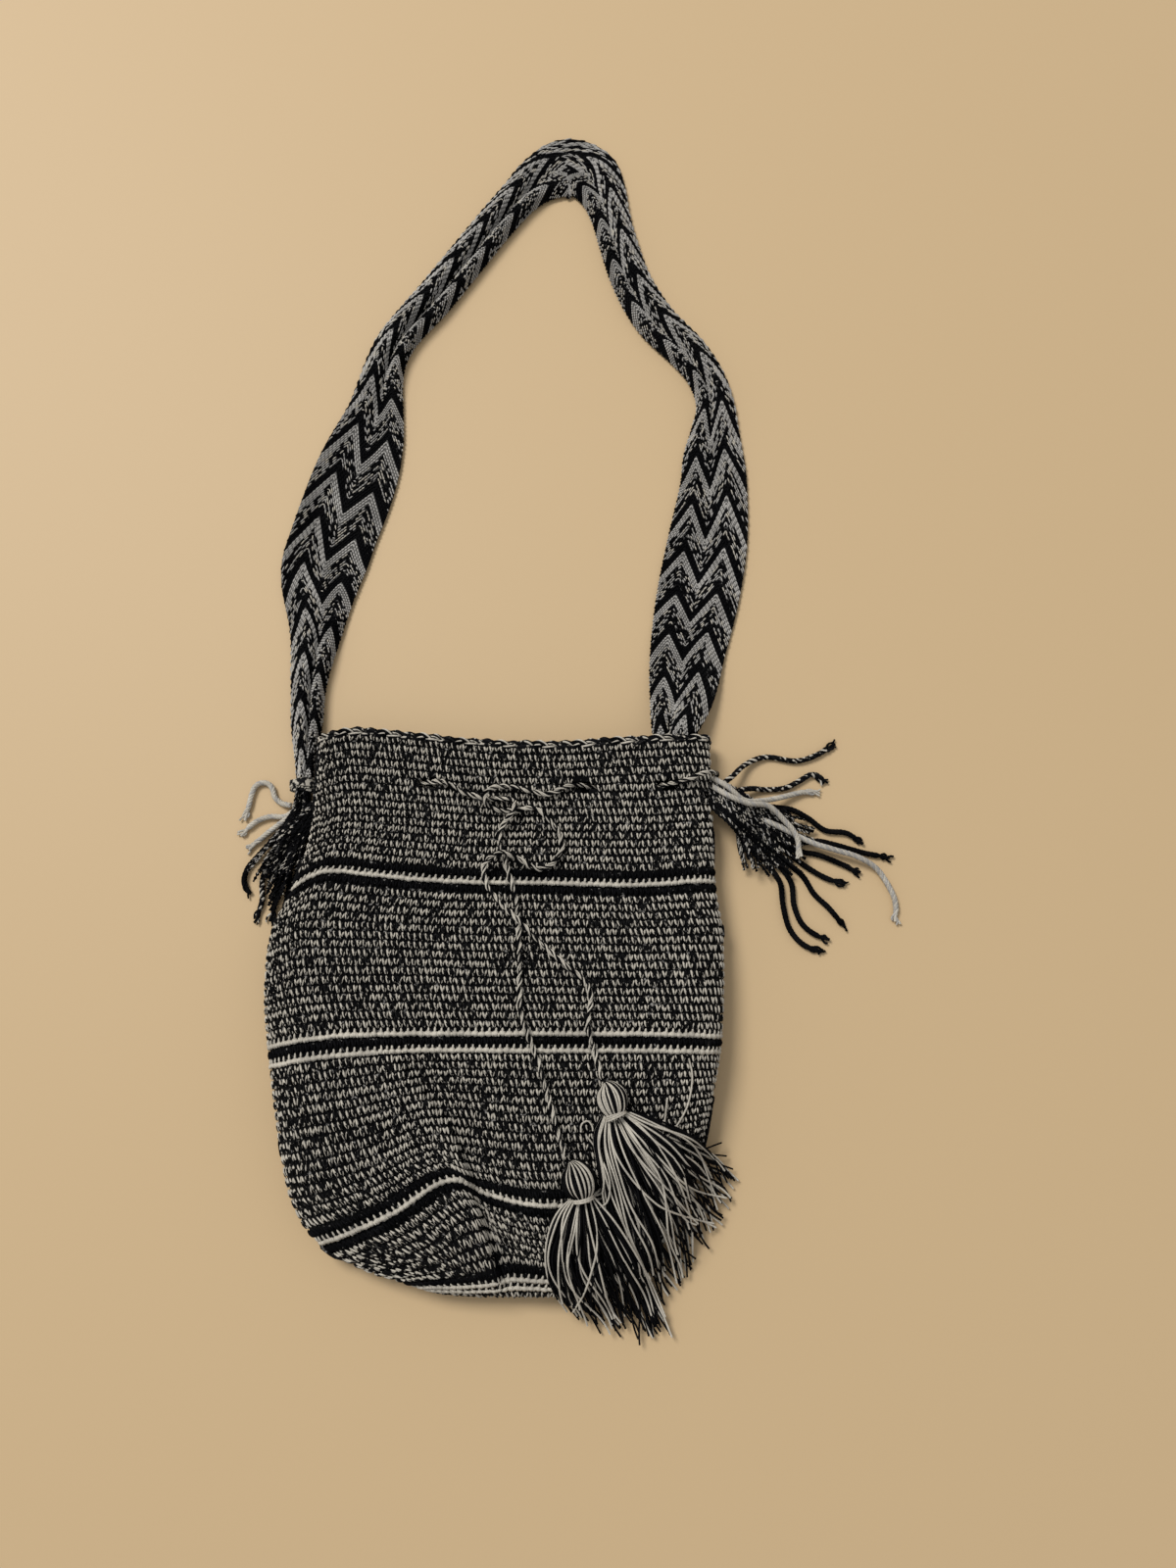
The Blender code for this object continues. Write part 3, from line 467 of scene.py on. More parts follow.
YARNS = [yarn_black, yarn_pale, yarn_grey, yarn_mixed]
BLACK_YARN, PALE_YARN, GREY_YARN, MIXED_YARN = range(4)
PRESSED = 1.02                  # a strand is this much thicker than just touching the one opposite


def yarns(letters):
    """The numbers of black, pale, grey and mixed yarns, from a word of their first letters."""
    return tuple("bpgm".index(letter) for letter in letters)


def twisted(line, diameter, pitch, colours, start):
    """Strands of a cord: four yarns that fill its diameter."""
    lines = strand_lines(line, diameter / 4, pitch, [k * math.pi / 2 for k in range(4)], start)
    return [(one, diameter / 4 * PRESSED, number) for one, number in zip(lines, colours)]


def two_plies(line, diameter, pitch, colours, start=0.0):
    """Two plies of three yarns each: every yarn turns round its ply while the ply turns round the line."""
    strands = []
    for ply, centre in enumerate(strand_lines(line, diameter * 0.23, pitch, (0.0, math.pi), start)):
        turning = strand_lines(centre, diameter * 0.145, pitch * 0.8, (0.3, 2.4, 4.5), start + ply)
        for k, yarn in enumerate(turning):
            strands.append((yarn, diameter * 0.135, colours[3 * ply + k]))
    return strands


print("yarns to twist:", len(YARNS))

# %% [markdown]
# ## The drawstring
# One cord of 3.6 mm leaves the lower tassel, runs up the front, is tied in a half knot, goes round the
# neck through six eyelets and comes back to the upper tassel. Its route names, for each place, what it
# runs over or inside, and its height follows from the walls. It is cut into three pieces here: the run
# through the eyelets, and the two free ends, whose lengths are printed.

# %% Route of the drawstring
STRING = 3.6
ROUTE = (
    (24.6, -246.6, "over", 4.2), (22, -241, "over", 1.5), (18, -228, "over", 0), (14, -214, "over", 0),
    (10, -202, "over", 0), (6, -192, "over", 0), (3, -183, "over", 0), (2.2, -172, "over", 0),
    (2.2, -160, "over", 0), (1.5, -148, "over", 0), (1, -138, "over", 0), (-0.5, -128, "over", 0),
    (-4, -117, "over", 0), (-7, -107, "over", 0), (-9, -98, "over", 0), (-6.5, -92, "over", 0.5),
    (-1.5, -85.5, "over", 4.4), (-3, -80.5, "over", 1.5), (-14, -79.8, "over", 0), (-26, -77, "over", 0),
    (-37.2, -71.2, "over", 0.1), (-44, -70.5, "wall_front", 0), (-50.8, -69.5, "in_front", 0),
    (-66, -67.5, "in_front", 0), (-82, -66.5, "in_front", 0), (-91, -67.5, "in_front", 0),
    (-94.5, -71, "in_side", 0), (-90, -75, "in_back", 0), (-74, -74.5, "in_back", 0),
    (-54, -72, "in_back", 0), (-36.8, -71, "in_back", 0), (-30, -71, "wall_back", 0),
    (-23.2, -71, "under", 0), (-8, -71, "under", 0), (8.2, -71, "under", 0), (15, -71, "wall_back", 0),
    (21.8, -71, "in_back", 0), (38, -71, "in_back", 0), (53.2, -71, "in_back", 0),
    (60, -71, "wall_back", 0), (66.8, -71, "under", 0), (80, -69, "under", 0), (91, -66.5, "under", 0),
    (97.5, -65.5, "beside", -4.5), (98.8, -65.4, "beside", 0), (97.6, -65.5, "beside", 5.5),
    (91, -67, "over", 0.3), (80.8, -70.8, "over", 0.1),
    (74, -71.5, "wall_front", 0), (67.2, -72, "in_front", 0), (53, -72.5, "in_front", 0),
    (38.8, -72.5, "in_front", 0), (32, -72.5, "wall_front", 0), (25.2, -73.1, "over", 0.1),
    (14, -77.5, "over", 0), (4, -75.5, "over", 0.6), (-6, -73.8, "over", 1.2), (-14, -76, "over", 4.0),
    (-16.5, -80.5, "over", 4.6), (-12, -85.2, "over", 1.5), (-2, -86, "over", 0), (7, -84.3, "over", 0),
    (14, -89.5, "over", 0), (20.5, -97.5, "over", 0), (21.5, -105, "over", 0), (17.5, -112, "over", 0),
    (9.5, -115, "over", 0), (2, -111, "over", 1.8), (-7.5, -107.5, "over", 4.5), (-15.5, -113, "over", 2),
    (-15, -121, "over", 0), (-9, -130, "over", 1.2), (0.5, -139.5, "over", 4.5), (12, -151, "over", 1.5),
    (23, -160.5, "over", 0), (33, -169, "over", 0), (35.5, -177, "over", 0), (34, -188, "over", 0),
    (36.5, -199, "over", 0), (39.4, -208.4, "over", 1.5), (41.0, -212.2, "over", 4.2),
)


def support_height(x, y):
    around = [(x + dx, y + dy) for dx in (-5, 0, 5) for dy in (-5, 0, 5)]
    inside = [front_height(a, b) for a, b in around if line_distance(a, b, OUTLINE_LINE) > 0 and b < -50]
    return max(inside) if inside else side_height(y) * 0.9


def string_height(x, y, place, lift):
    clear = STRING / 2 + 0.7
    if place == "over":
        return support_height(x, y) + clear - 0.1 + lift
    if place in ("wall_front", "in_front"):
        return front_height(x, y) - (WALL / 2 if place == "wall_front" else WALL + clear)
    if place in ("wall_back", "in_back", "under"):
        above = {"wall_back": WALL / 2, "in_back": WALL + clear, "under": 0.3 - clear}[place]
        return back_height(x, y) + above
    return side_height(y) + (0.8 if place == "in_side" else lift)


route = [(x, y, string_height(x, y, place, lift)) for x, y, place, lift in ROUTE]
front_eyelets = [k for k, (_, _, place, _) in enumerate(ROUTE) if place == "wall_front"]
string_line = evenly(curve_spans(route), STRAND_SPACING)
cuts = [int(np.argmin(np.linalg.norm(string_line - route[k], axis=1)))
        for k in (front_eyelets[0], front_eyelets[-1])]
print("drawstring:", round(float(run_length(string_line)[-1])), "mm, cut at", cuts)

# %% Drawstring in three pieces
STRING_PITCH = 11.0
STRING_SEEN = 2.95              # drawn slimmer than its solid, which is nearer to the photograph
string_strands = two_plies(string_line, STRING_SEEN, STRING_PITCH, yarns("ppbbpb"))


def string_piece(name, first, last):
    strands = [(line[first:last + 1], radius, number) for line, radius, number in string_strands]
    piece = tubes(name, strands, YARNS)
    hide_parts("drawstring")
    return piece, placed(string_line[first:last + 1])


string_lower, path_lower = string_piece("drawstring_end_lower", 0, cuts[0])
string_neck, path_neck = string_piece("drawstring_neck", *cuts)
string_upper, path_upper = string_piece("drawstring_end_upper", cuts[1], len(string_line) - 1)
for label, path in (("lower", path_lower), ("neck", path_neck), ("upper", path_upper)):
    print(label, round(float(run_length(path)[-1]) * 1000), "mm")

# %% [markdown]
# Each free end carries a tassel, so the tassels are made first, and the length of each end is printed
# after them.
#
# ## Tassels
# A tassel is a bundle of yarns folded over the cord's end and bound below the fold, which makes a round
# head and a loose skirt. Its solid gives stations along the middle with a half width and a height. Each
# yarn keeps its own place across the bundle while it runs through those stations, wanders a little, and
# ends where the scissors happened to cut it.

# %% Stations of the tassels
TASSELS = {
    "tassel_lower": (
        (26.6, -249.2, 1.3, 2.6, 6.2), (27.8, -251, 4.6, 9, 3.2), (28.8, -253.5, 7, 13.5, 1.2),
        (30, -257, 8, 15.5, 0.6), (31.2, -261, 7.0, 13.6, 1.4), (31.9, -264, 4.4, 8.8, 3.5),
        (32.3, -265.8, 3.4, 6.8, 4.5), (32.6, -270.4, 3.4, 6.8, 4.5), (32.2, -273, 7.0, 9, 2),
        (31, -280, 12.5, 10.5, 0.8), (31.5, -292, 15.5, 10, 0.8), (34, -304, 15.5, 8.5, 0.8),
        (38, -314, 14, 7, 0.8), (42, -321, 12, 5, 0.8)),
    "tassel_upper": (
        (42.2, -214.6, 1.3, 2.6, 6.0), (43.2, -216.4, 4.5, 8.8, 3.2), (44, -218.6, 6.5, 12.6, 1.2),
        (45, -221.5, 7.2, 14.2, 0.6), (46, -225.2, 6.3, 12.4, 1.3), (46.7, -228, 4.3, 8.6, 3.4),
        (47.4, -229.8, 3.3, 6.6, 4.5), (49.3, -234, 3.3, 6.6, 4.5), (51.2, -237, 7, 9, 2),
        (57, -246, 14.5, 11, 0.8), (65, -259, 20, 10.5, 0.8), (73, -273, 23, 9, 0.8),
        (79, -286, 22, 7, 0.8), (84, -296, 18, 5, 0.8)),
}
NECK = 6


def tassel_axis(name):
    """Dense stations of a tassel: centre, base height, half width and height."""
    stations = np.array(TASSELS[name], float)
    rows = []
    for x, y, half, height, lift in stations:
        rows.append((x, y, support_height(x, y) + lift + 0.4, half, height))
    return curve_spans(np.array(rows), 10)


def bundle_yarn(axis, first, last, across, rise, wander=0.0):
    """A yarn's centre line at a fixed place of the bundle, across and rise from -1 to 1."""
    part = axis[first:last]
    direction = np.gradient(part[:, :2], axis=0)
    direction /= np.linalg.norm(direction, axis=1)[:, None]
    t = np.linspace(0, 1, len(part))
    sway = wander * np.sin(t * chance.uniform(3, 7) + chance.uniform(0, 6.3)) * t
    off = part[:, 3] * across + sway
    x = part[:, 0] - direction[:, 1] * off
    y = part[:, 1] + direction[:, 0] * off
    z = part[:, 2] + part[:, 4] / 2 * (1 + rise) + 0.3 * wander * np.sin(t * 5 + off)
    return np.array([x, y, z]).T


print("tassels:", list(TASSELS))

# %% Heads, bindings and skirts
HEAD_YARNS = 44
HEAD_PALE = 0.45                # share of the head's yarns that are pale
YARN = 0.46                     # radius of a loose yarn


def tassel_head(name, axis):
    """Yarns laid over the head like meridians, from the cord to the binding."""
    strands = []
    last = int(len(axis) * (NECK + 0.2) / (len(TASSELS[name]) - 1))
    for k in range(HEAD_YARNS):
        angle = 2 * math.pi * (k + chance.uniform(-0.2, 0.2)) / HEAD_YARNS
        line = bundle_yarn(axis, 0, last, 0.93 * math.cos(angle), 0.93 * math.sin(angle), 0.25)
        strands.append((evenly(line, 1.3), 0.58, int(chance.uniform() < HEAD_PALE)))
    core = bundle_yarn(axis, 1, last, 0.0, 0.0)
    size = axis[1:last, 4] * 0.45
    strands.append((core, size, BLACK_YARN))
    head = tubes(f"{name}_head", strands, YARNS)
    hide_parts(f"{name}_yarn")
    return head


def drape_height(x, y):
    """Height of what a loose yarn lies on: the bag's front, or past its side fold the slope to the floor."""
    inside = line_distance(x, y, OUTLINE_LINE)
    if inside > 1.0:
        return front_height(x, y)
    return max(0.4, side_height(y) + 3.0 - 0.9 * (1.0 - inside))


# Lines that the yarns of a skirt follow, from its left side to its right one.
SKIRTS = {
    "tassel_lower": (
        ((28.5, -263.5), (20.5, -271), (15.8, -283), (15.4, -297), (19, -308), (27, -321)),
        ((30, -263.2), (27, -277), (26, -295), (31, -312), (38, -325)),
        ((32, -263), (34, -279), (37, -298), (43, -315), (49, -328)),
        ((34, -262.6), (40.5, -277), (49, -295), (57, -313), (64, -331.5)),
        ((35.2, -262.4), (45, -273), (56, -290), (65, -308), (72, -329)),
    ),
    "tassel_upper": (
        ((41.5, -228.5), (36.8, -238), (38.6, -251), (41.2, -266), (43.9, -281.5), (48, -294)),
        ((43.5, -228), (44, -242), (50, -262), (57, -285), (64, -305), (69, -316)),
        ((46, -227.5), (52, -241), (63, -262), (73, -284), (81, -304)),
        ((48, -226.8), (60, -237), (75, -252), (87, -268), (97, -281)),
        ((50, -226), (64.5, -230.6), (79, -237), (93, -248.8), (106.4, -263.7)),
    ),
}
SKIRT_YARNS = {"tassel_lower": 130, "tassel_upper": 170}
SKIRT_PALE = {"tassel_lower": 0.17, "tassel_upper": 0.3}
GOLDEN = 0.618034               # steps of this share of the width never leave a gap or a cluster
REBELS = 0.13                   # share of yarns that cross over the others


def tassel_skirt(name, strays):
    """The loose yarns below the binding, each in its own lane, with a few that cross over."""
    steps = np.linspace(0, 1, 26)
    guides = []
    for points in SKIRTS[name]:
        dense = smooth_line([(x, y, 0) for x, y in points], 1.0)
        shares = np.linspace(0, 1, len(dense))
        guides.append(np.array([np.interp(steps, shares, dense[:, k]) for k in range(2)]).T)
    lanes = np.linspace(0, 1, len(guides))
    strands = []
    for k in range(SKIRT_YARNS[name]):
        rebel = chance.uniform() < REBELS
        pale = k < SKIRT_PALE[name] * SKIRT_YARNS[name] or rebel and chance.uniform() < 0.5
        layer = 1.08 if rebel else chance.uniform(0, 1)**0.8
        t = np.linspace(0, chance.uniform(0.8, 1.0), 26)
        lane = k * GOLDEN % 1 + t**1.5 * chance.normal(0, 0.26 if rebel else 0.07)
        lane += 0.05 * t * np.sin(t * chance.uniform(5, 12) + chance.uniform(0, 6.3))
        lane = np.clip(lane, -0.02, 1.02)
        at = np.array([[np.interp(q, steps, g[:, c]) for g in guides for c in (0, 1)] for q in t])
        x = np.array([np.interp(w, lanes, row[0::2]) for w, row in zip(lane, at)])
        y = np.array([np.interp(w, lanes, row[1::2]) for w, row in zip(lane, at)])
        curl = chance.normal(0, 2.4, 2) * chance.uniform(0.3, 1)
        x = x + curl[0] * t**4 * np.sin(4 * t)
        y = y + curl[1] * t**4
        bulk = np.interp(t, (0, 0.15, 0.5, 1.0), (5.5, 8.5, 6.0, 2.6))
        z = np.array([drape_height(a, b) for a, b in zip(x, y)]) + 0.9 + layer * bulk
        z = np.convolve(np.pad(z, 2, mode="edge"), np.ones(5) / 5, mode="valid")
        strands.append((evenly(np.array([x, y, z]).T, 2.4), YARN, int(pale)))
    for colour, points in strays:
        line = [(x, y, drape_height(x, y) + lift) for x, y, lift in points]
        strands.append((smooth_line(line, 1.2), YARN * 0.9, colour))
    skirt = tubes(f"{name}_skirt", strands, YARNS)
    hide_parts(f"{name}_yarn")
    return skirt


def tassel_binding(name, axis, turns, tails):
    """Pale yarn wound round the neck, with its tied ends."""
    n = len(TASSELS[name]) - 1
    first, last = int(len(axis) * (NECK - 1.15) / n), int(len(axis) * (NECK - 0.1) / n)
    neck = evenly(axis[first:last], 0.1)
    middle = neck[:, :3].copy()
    middle[:, 2] += neck[:, 4] / 2
    angles = np.linspace(0, 2 * math.pi * turns, 16 * turns)
    places = np.array([np.interp(np.linspace(0, 1, len(angles)), np.linspace(0, 1, len(middle)), middle[:, k])
                       for k in range(3)]).T
    sides, ups, _ = carried_frame(places)
    radius = neck[:, 3].mean() + 0.5
    coil = places + radius * (np.cos(angles)[:, None] * sides + np.sin(angles)[:, None] * ups)
    strands = [(coil, 0.5, PALE_YARN)]
    for tail in tails:
        strands.append((smooth_line(np.array(tail), 1.2), 0.5, PALE_YARN))
    binding = tubes(f"{name}_tie", strands, YARNS)
    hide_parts(f"{name}_binding")
    return binding


axes = {name: tassel_axis(name) for name in TASSELS}
TIE_ENDS = {
    "tassel_lower": [((34.5, -264.5, 6), (39.5, -261.5, 4), (42.5, -257.5, 1.5)),
                     ((34.5, -264.5, 6), (40, -263, 4), (43.5, -260.5, 1.2), (42, -257, 1.4)),
                     ((34.5, -265, 6), (40, -265.5, 3), (43.5, -263, 1))],
    "tassel_upper": [((44, -229, 9), (41, -231.5, 5), (39, -233, 3))],
}
STRAYS = {
    "tassel_lower": [(1, ((31, -236.5, 1), (31.2, -233.2, 1), (34, -231.5, 1), (36.2, -234, 1),
                          (36.4, -236, 1)))],
    "tassel_upper": [
        (1, ((70, -238, 6), (74, -234.7, 2), (77.5, -229.9, 1), (80.4, -223.9, 0.8), (82.4, -211.7, 0.8),
             (80.9, -203.8, 0.8))),
        (1, ((68, -237, 6), (69.1, -232.5, 1.5), (70.6, -221.3, 0.8))),
        (1, ((33.8, -238.5, 0.8), (37.8, -243.6, 1.5), (40.9, -248.8, 8), (43.9, -258.0, 10),
             (42.6, -266.4, 8), (39.5, -268.5, 8))),
        (0, ((76, -240, 6), (83, -242, 2.5), (90, -239, 1.0))),
        (0, ((77, -241, 6), (86, -245, 2.5), (97.5, -243.2, 1.2))),
        (0, ((78, -242, 6), (88, -247, 3), (100, -249.5, 2))),
        (0, ((77, -240, 5), (84, -240, 2), (87.5, -236, 0.8))),
        (0, ((79, -243, 6), (90, -250, 4), (103, -255.5, 3))),
    ],
}
for name in TASSELS:
    head = tassel_head(name, axes[name])
    tails = [[(x, y, drape_height(x, y) + lift) for x, y, lift in tail] for tail in TIE_ENDS[name]]
    tie = tassel_binding(name, axes[name], 3, tails)
    tassel_skirt(name, STRAYS[name])
    print(name, len(head.data.polygons), "head faces")

for piece, path, tassel in ((string_lower, path_lower[::-1], "tassel_lower"),
                            (string_upper, path_upper, "tassel_upper")):
    long = float(run_length(path)[-1])
    print(piece.name, "is", round(long * 1000), "mm long")

# %% [markdown]
# ## Fringes
# Beyond its lashings the strap isn't woven: its warp cords hang loose and end in frayed tips. Each cord
# is a piece of its own. The last few millimetres of each come untwisted, so there the
# strands drift away from the cord's line.

# %% Loose cords of the fringes
FRINGE = 3.0
FRINGE_PITCH = 7.0
FRAY = 8.0                      # length of the frayed tip
FROM_BAG = 10.0                 # a cord that starts higher than this comes out of the bag, not the lashing
FRINGE_RIGHT = {
    "a": ((101.6, -70.6, 7), (107, -65.5, 6), (115, -58, 2), (125, -54, 0), (141, -56, 0),
          (151, -53, 0), (161, -47, 0)),
    "b": ((109.5, -73, 5.5), (117, -71, 2.5), (125, -71, 0), (135, -70, 0), (142, -66.5, 0),
          (149, -63, 0), (155, -67, 0)),
    "c": ((96.8, -67.6, 12), (103.0, -72.5, 16.5), (111.5, -79.4, 15), (122.1, -78.4, 9),
          (131.6, -75.8, 3.5), (143.4, -72.4, 0.4), (150.8, -71.8, 0)),
    "d": ((96.7, -72.1, 12.5), (103.9, -77.8, 18), (113.2, -81.1, 16), (124.0, -81.8, 12),
          (131.5, -88.0, 9.5), (137.7, -95.3, 7.5), (140.6, -106.2, 6)),
    "e": ((130, -80.2, 0), (138, -81.5, 0), (146, -86, 0), (154, -92, 0), (165, -93.5, 0), (173, -99, 0)),
    "f": ((140.5, -98.2, 0), (150, -97.5, 0), (161, -100, 0), (173, -103.5, 0), (186, -106, 0)),
    "g": ((139.5, -102.2, 0), (150, -104.5, 0), (160, -108.5, 0), (171, -113.5, 0)),
    "h": ((147, -99, 3.4), (158, -102.5, 3.5), (169, -106, 3.5), (178, -111, 1.5), (184, -119, 0),
          (187.5, -128, 0), (187, -138, 0)),
    "i": ((127.5, -113.5, 0), (130.5, -119, 0), (131.5, -130, 0), (134.5, -142, 0), (141, -149.5, 0),
          (150, -153, 0)),
    "j": ((131.5, -111.3, 0), (136, -119, 0), (137, -130, 0), (140.5, -139, 0), (147, -144.5, 0),
          (154, -147, 0)),
    "k": ((135.3, -109.2, 0), (142, -115.5, 0), (147, -124, 0), (154, -131, 0), (162, -141, 0)),
    "l": ((138.6, -106.6, 0), (146, -112, 0), (154, -116.5, 0), (163, -119.5, 0)),
}
FRINGE_LEFT = {
    "a": ((-116.2, -79.5, 2), (-121.5, -78, 0.4), (-125, -75, 0), (-126.4, -70.7, 0), (-128.7, -68, 0),
          (-132.2, -67.4, 0), (-135.3, -69.2, 0), (-136.9, -73.5, 0), (-138, -79.5, 0), (-139.5, -87, 0)),
    "b": ((-112.5, -81.5, 4), (-119.5, -85, 0.5), (-127, -85, 0), (-134.5, -88, 0), (-141, -95, 0)),
    "c": ((-113.5, -84, 4), (-119.5, -88, 3), (-126, -92, 0), (-130, -95.5, 0), (-136.5, -102, 0)),
    "d": ((-120, -94, 3.4), (-127, -101, 3), (-133.5, -107, 0), (-137, -112, 0), (-138, -118, 0),
          (-134.5, -124, 0)),
    "e": ((-122.5, -103, 3.2), (-127.6, -112, 0), (-129, -118, 0), (-128.5, -127, 0), (-130.5, -137, 0)),
    "f": ((-119.5, -107, 3.2), (-121.8, -115.4, 0), (-121.5, -122, 0), (-122.3, -130, 0), (-124, -138, 0)),
    "g": ((-114, -101, 3.4), (-114.8, -110, 3), (-115.4, -118.8, 0), (-116, -124, 0), (-117.8, -132, 0)),
}
LAY_COLOURS = {"black": "bbbb", "pale": "ppgp", "grey": "pgpg", "marled": "bmbm"}
LAYS = {"left": {"a": "pale", "b": "pale", "c": "pale", "e": "marled", "f": "marled"},
        "right": {"a": "marled", "b": "marled", "c": "pale", "d": "pale", "h": "grey"}}


def lay_of(side, letter):
    """The yarns of a loose cord, which is black unless LAYS says another."""
    return yarns(LAY_COLOURS[LAYS[side].get(letter, "black")])


print("loose cords:", len(FRINGE_LEFT) + len(FRINGE_RIGHT))


# %% Fray the tips
def frayed(line, lay):
    """Strands of a cord whose tips come apart over the last few millimetres."""
    strands = [(line[-int(FRAY + 2):], 0.8, lay[0])]
    left_over = run_length(line)[-1] - run_length(line)
    open_up = np.clip(1 - left_over / FRAY, 0, 1)**1.5
    for one, radius, number in twisted(line, FRINGE, FRINGE_PITCH, lay, chance.uniform(0, 6.3)):
        away = chance.normal(0, 1.0, 3)
        away[2] = 0.0
        out = one + open_up[:, None] * away / max(np.linalg.norm(away), 0.5) * 2.0
        out[:, 2] = mix(out[:, 2], np.maximum(line[:, 2] - 0.4, 0.9), open_up)
        strands.append((out, radius * mix(1.0, 0.6, open_up), number))
        stray = np.clip(chance.normal(0, 0.4, 3), -0.4, 0.4)
        thin = out[open_up > 0.05] + stray * (open_up[open_up > 0.05] * 1.2)[:, None]
        if len(thin) > 2:
            thin[:, 2] = np.maximum(thin[:, 2], 0.5)
            strands.append((thin, 0.3, number))
    return strands


def from_lashing(points, lashing):
    """A cord's places with two more on the gathered warp, so that it starts at the lashing."""
    points = np.array(points, float)
    gap = points[0][:2] - np.array(lashing[:2])
    far = np.linalg.norm(gap)
    if far < 6 or points[0][2] > FROM_BAG:
        return points
    start = [*(lashing[:2] + gap * 2.5 / far), lashing[2]]
    middle = [*(lashing[:2] + gap * 0.55), mix(lashing[2], points[0][2], 0.55) + 1.6]
    return np.vstack([start, middle, points] if far > 14 else [start, points])


for side, cords, lashing in (("left", FRINGE_LEFT, (-111, -80, 6.0)),
                            ("right", FRINGE_RIGHT, (105, -80.5, 9.0))):
    for letter, points in cords.items():
        line = smooth_line(from_lashing(points, lashing) + (0, 0, FRINGE / 2 + 0.2), STRAND_SPACING)
        cord_piece = tubes(f"fringe_{side}_{letter}_cord", frayed(line, lay_of(side, letter)), YARNS)
        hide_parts(f"fringe_{side}_{letter}")
        path = placed(line)
        print(cord_piece.name, round(float(run_length(path)[-1]) * 1000), "mm")

# %% [markdown]
# ## The woven strap
# The strap is one flat band of yarn, 50 mm wide, woven with double chevrons. Where it is narrow it isn't
# thinner cloth: it is pleated lengthwise, so two ridges stand up and one edge curls under. A station gives
# the band's middle, the height of its underside, and how wide it is seen from above. From those a single
# function turns a place on the flat band (along, across) into a place in the scene.

# %% Stations of the strap
BAND = 50.0
STRAP = (
    (-122, -111, 0.2, 24, 0.50), (-117, -100, 0.3, 19, 0.42), (-111.5, -86, 1.4, 11, 0.30),
    (-109.8, -72, 3.4, 6.5, 0.24), (-109.8, -58, 3.0, 8.5, 0.34), (-110.5, -40, 1.2, 14, 0.60),
    (-110.8, -14, 0.3, 17.5, 0.88), (-108.4, 14, 0.2, 27, 1.0), (-107.5, 40, 0.2, 41.2, 1.0),
    (-106, 51, 0.2, 45, 1.0), (-102, 66, 0.2, 45.7, 1.0), (-93.3, 95, 0.2, 46.4, 1.0),
    (-88.8, 111, 0.2, 44, 1.0), (-84.8, 126.5, 0.2, 38, 1.0),
    (-82, 141, 0.2, 30, 1.0), (-80.2, 155.5, 0.2, 24, 1.0),
    (-77.6, 169, 0.2, 21, 1.0), (-73, 181, 0.2, 20.5, 1.0), (-65.8, 192, 0.2, 20.5, 1.0),
    (-53.5, 207.5, 0.2, 21.5, 1.0), (-36, 232.3, 0.2, 21.5, 1.0), (-18, 257.8, 0.2, 21.5, 1.0),
    (-4.5, 275, 0.2, 23, 1.0), (8, 287, 0.2, 30.5, 1.0), (22, 293.3, 0.2, 38.5, 1.0),
    (34.5, 289.3, 0.2, 35.5, 1.0), (42.3, 277.5, 0.2, 27, 1.0), (47, 262, 0.2, 21, 1.0),
    (51, 246, 0.2, 20.5, 1.0), (58.5, 221, 0.2, 21, 1.0), (71.5, 196.3, 0.2, 22.5, 1.0),
    (89, 176.5, 0.2, 21.5, 1.0), (97, 165, 0.2, 19.5, 1.0), (102, 153.5, 0.2, 19, 1.0),
    (104.3, 141.5, 0.2, 20, 1.0), (103.6, 127.5, 0.2, 25.5, 1.0), (102.4, 112, 0.2, 32.5, 1.0),
    (102, 96, 0.2, 35.5, 1.0), (98, 64, 0.2, 42, 1.0), (92, 32, 0.2, 43, 1.0),
    (86.5, 4, 0.4, 39, 0.95), (82.5, -22, 4.5, 33, 0.76), (78, -43, 9.9, 22, 0.44),
    (77, -57, 9.9, 13, 0.27), (82.5, -69, 8.8, 7.5, 0.23), (95, -77, 8.0, 6.0, 0.22),
    (105, -80.5, 6.4, 8.0, 0.24), (114, -87, 3.4, 15, 0.34), (121, -97, 0.8, 25, 0.52),
    (125.5, -105, 0.2, 29, 0.60),
)
NARROW = 21.0
STEPS_ACROSS = 33
FLAT_ACROSS = (0.0, 0.25, 0.5, 0.75, 1.0)
PLEATED_ACROSS = (0.0, 0.386, 0.62, 0.84, 1.0)
PLEATED_HEIGHT = (0.0, 7.4, 1.6, 6.4, 0.0)

strap_line = evenly(curve_spans(STRAP), 2.0)
strap_arc = np.concatenate([[0], np.cumsum(np.linalg.norm(np.diff(strap_line[:, :2], axis=0), axis=1))])
strap_way = np.gradient(strap_line[:, :2], axis=0)
strap_way /= np.linalg.norm(strap_way, axis=1)[:, None]
quarters = np.linspace(0, 1, STEPS_ACROSS)
pleated_across = np.array([blend_keys(q, FLAT_ACROSS, PLEATED_ACROSS) for q in quarters])
pleated_height = np.array([blend_keys(q, FLAT_ACROSS, PLEATED_HEIGHT) for q in quarters])
print("the strap is", round(float(strap_arc[-1])), "mm long")


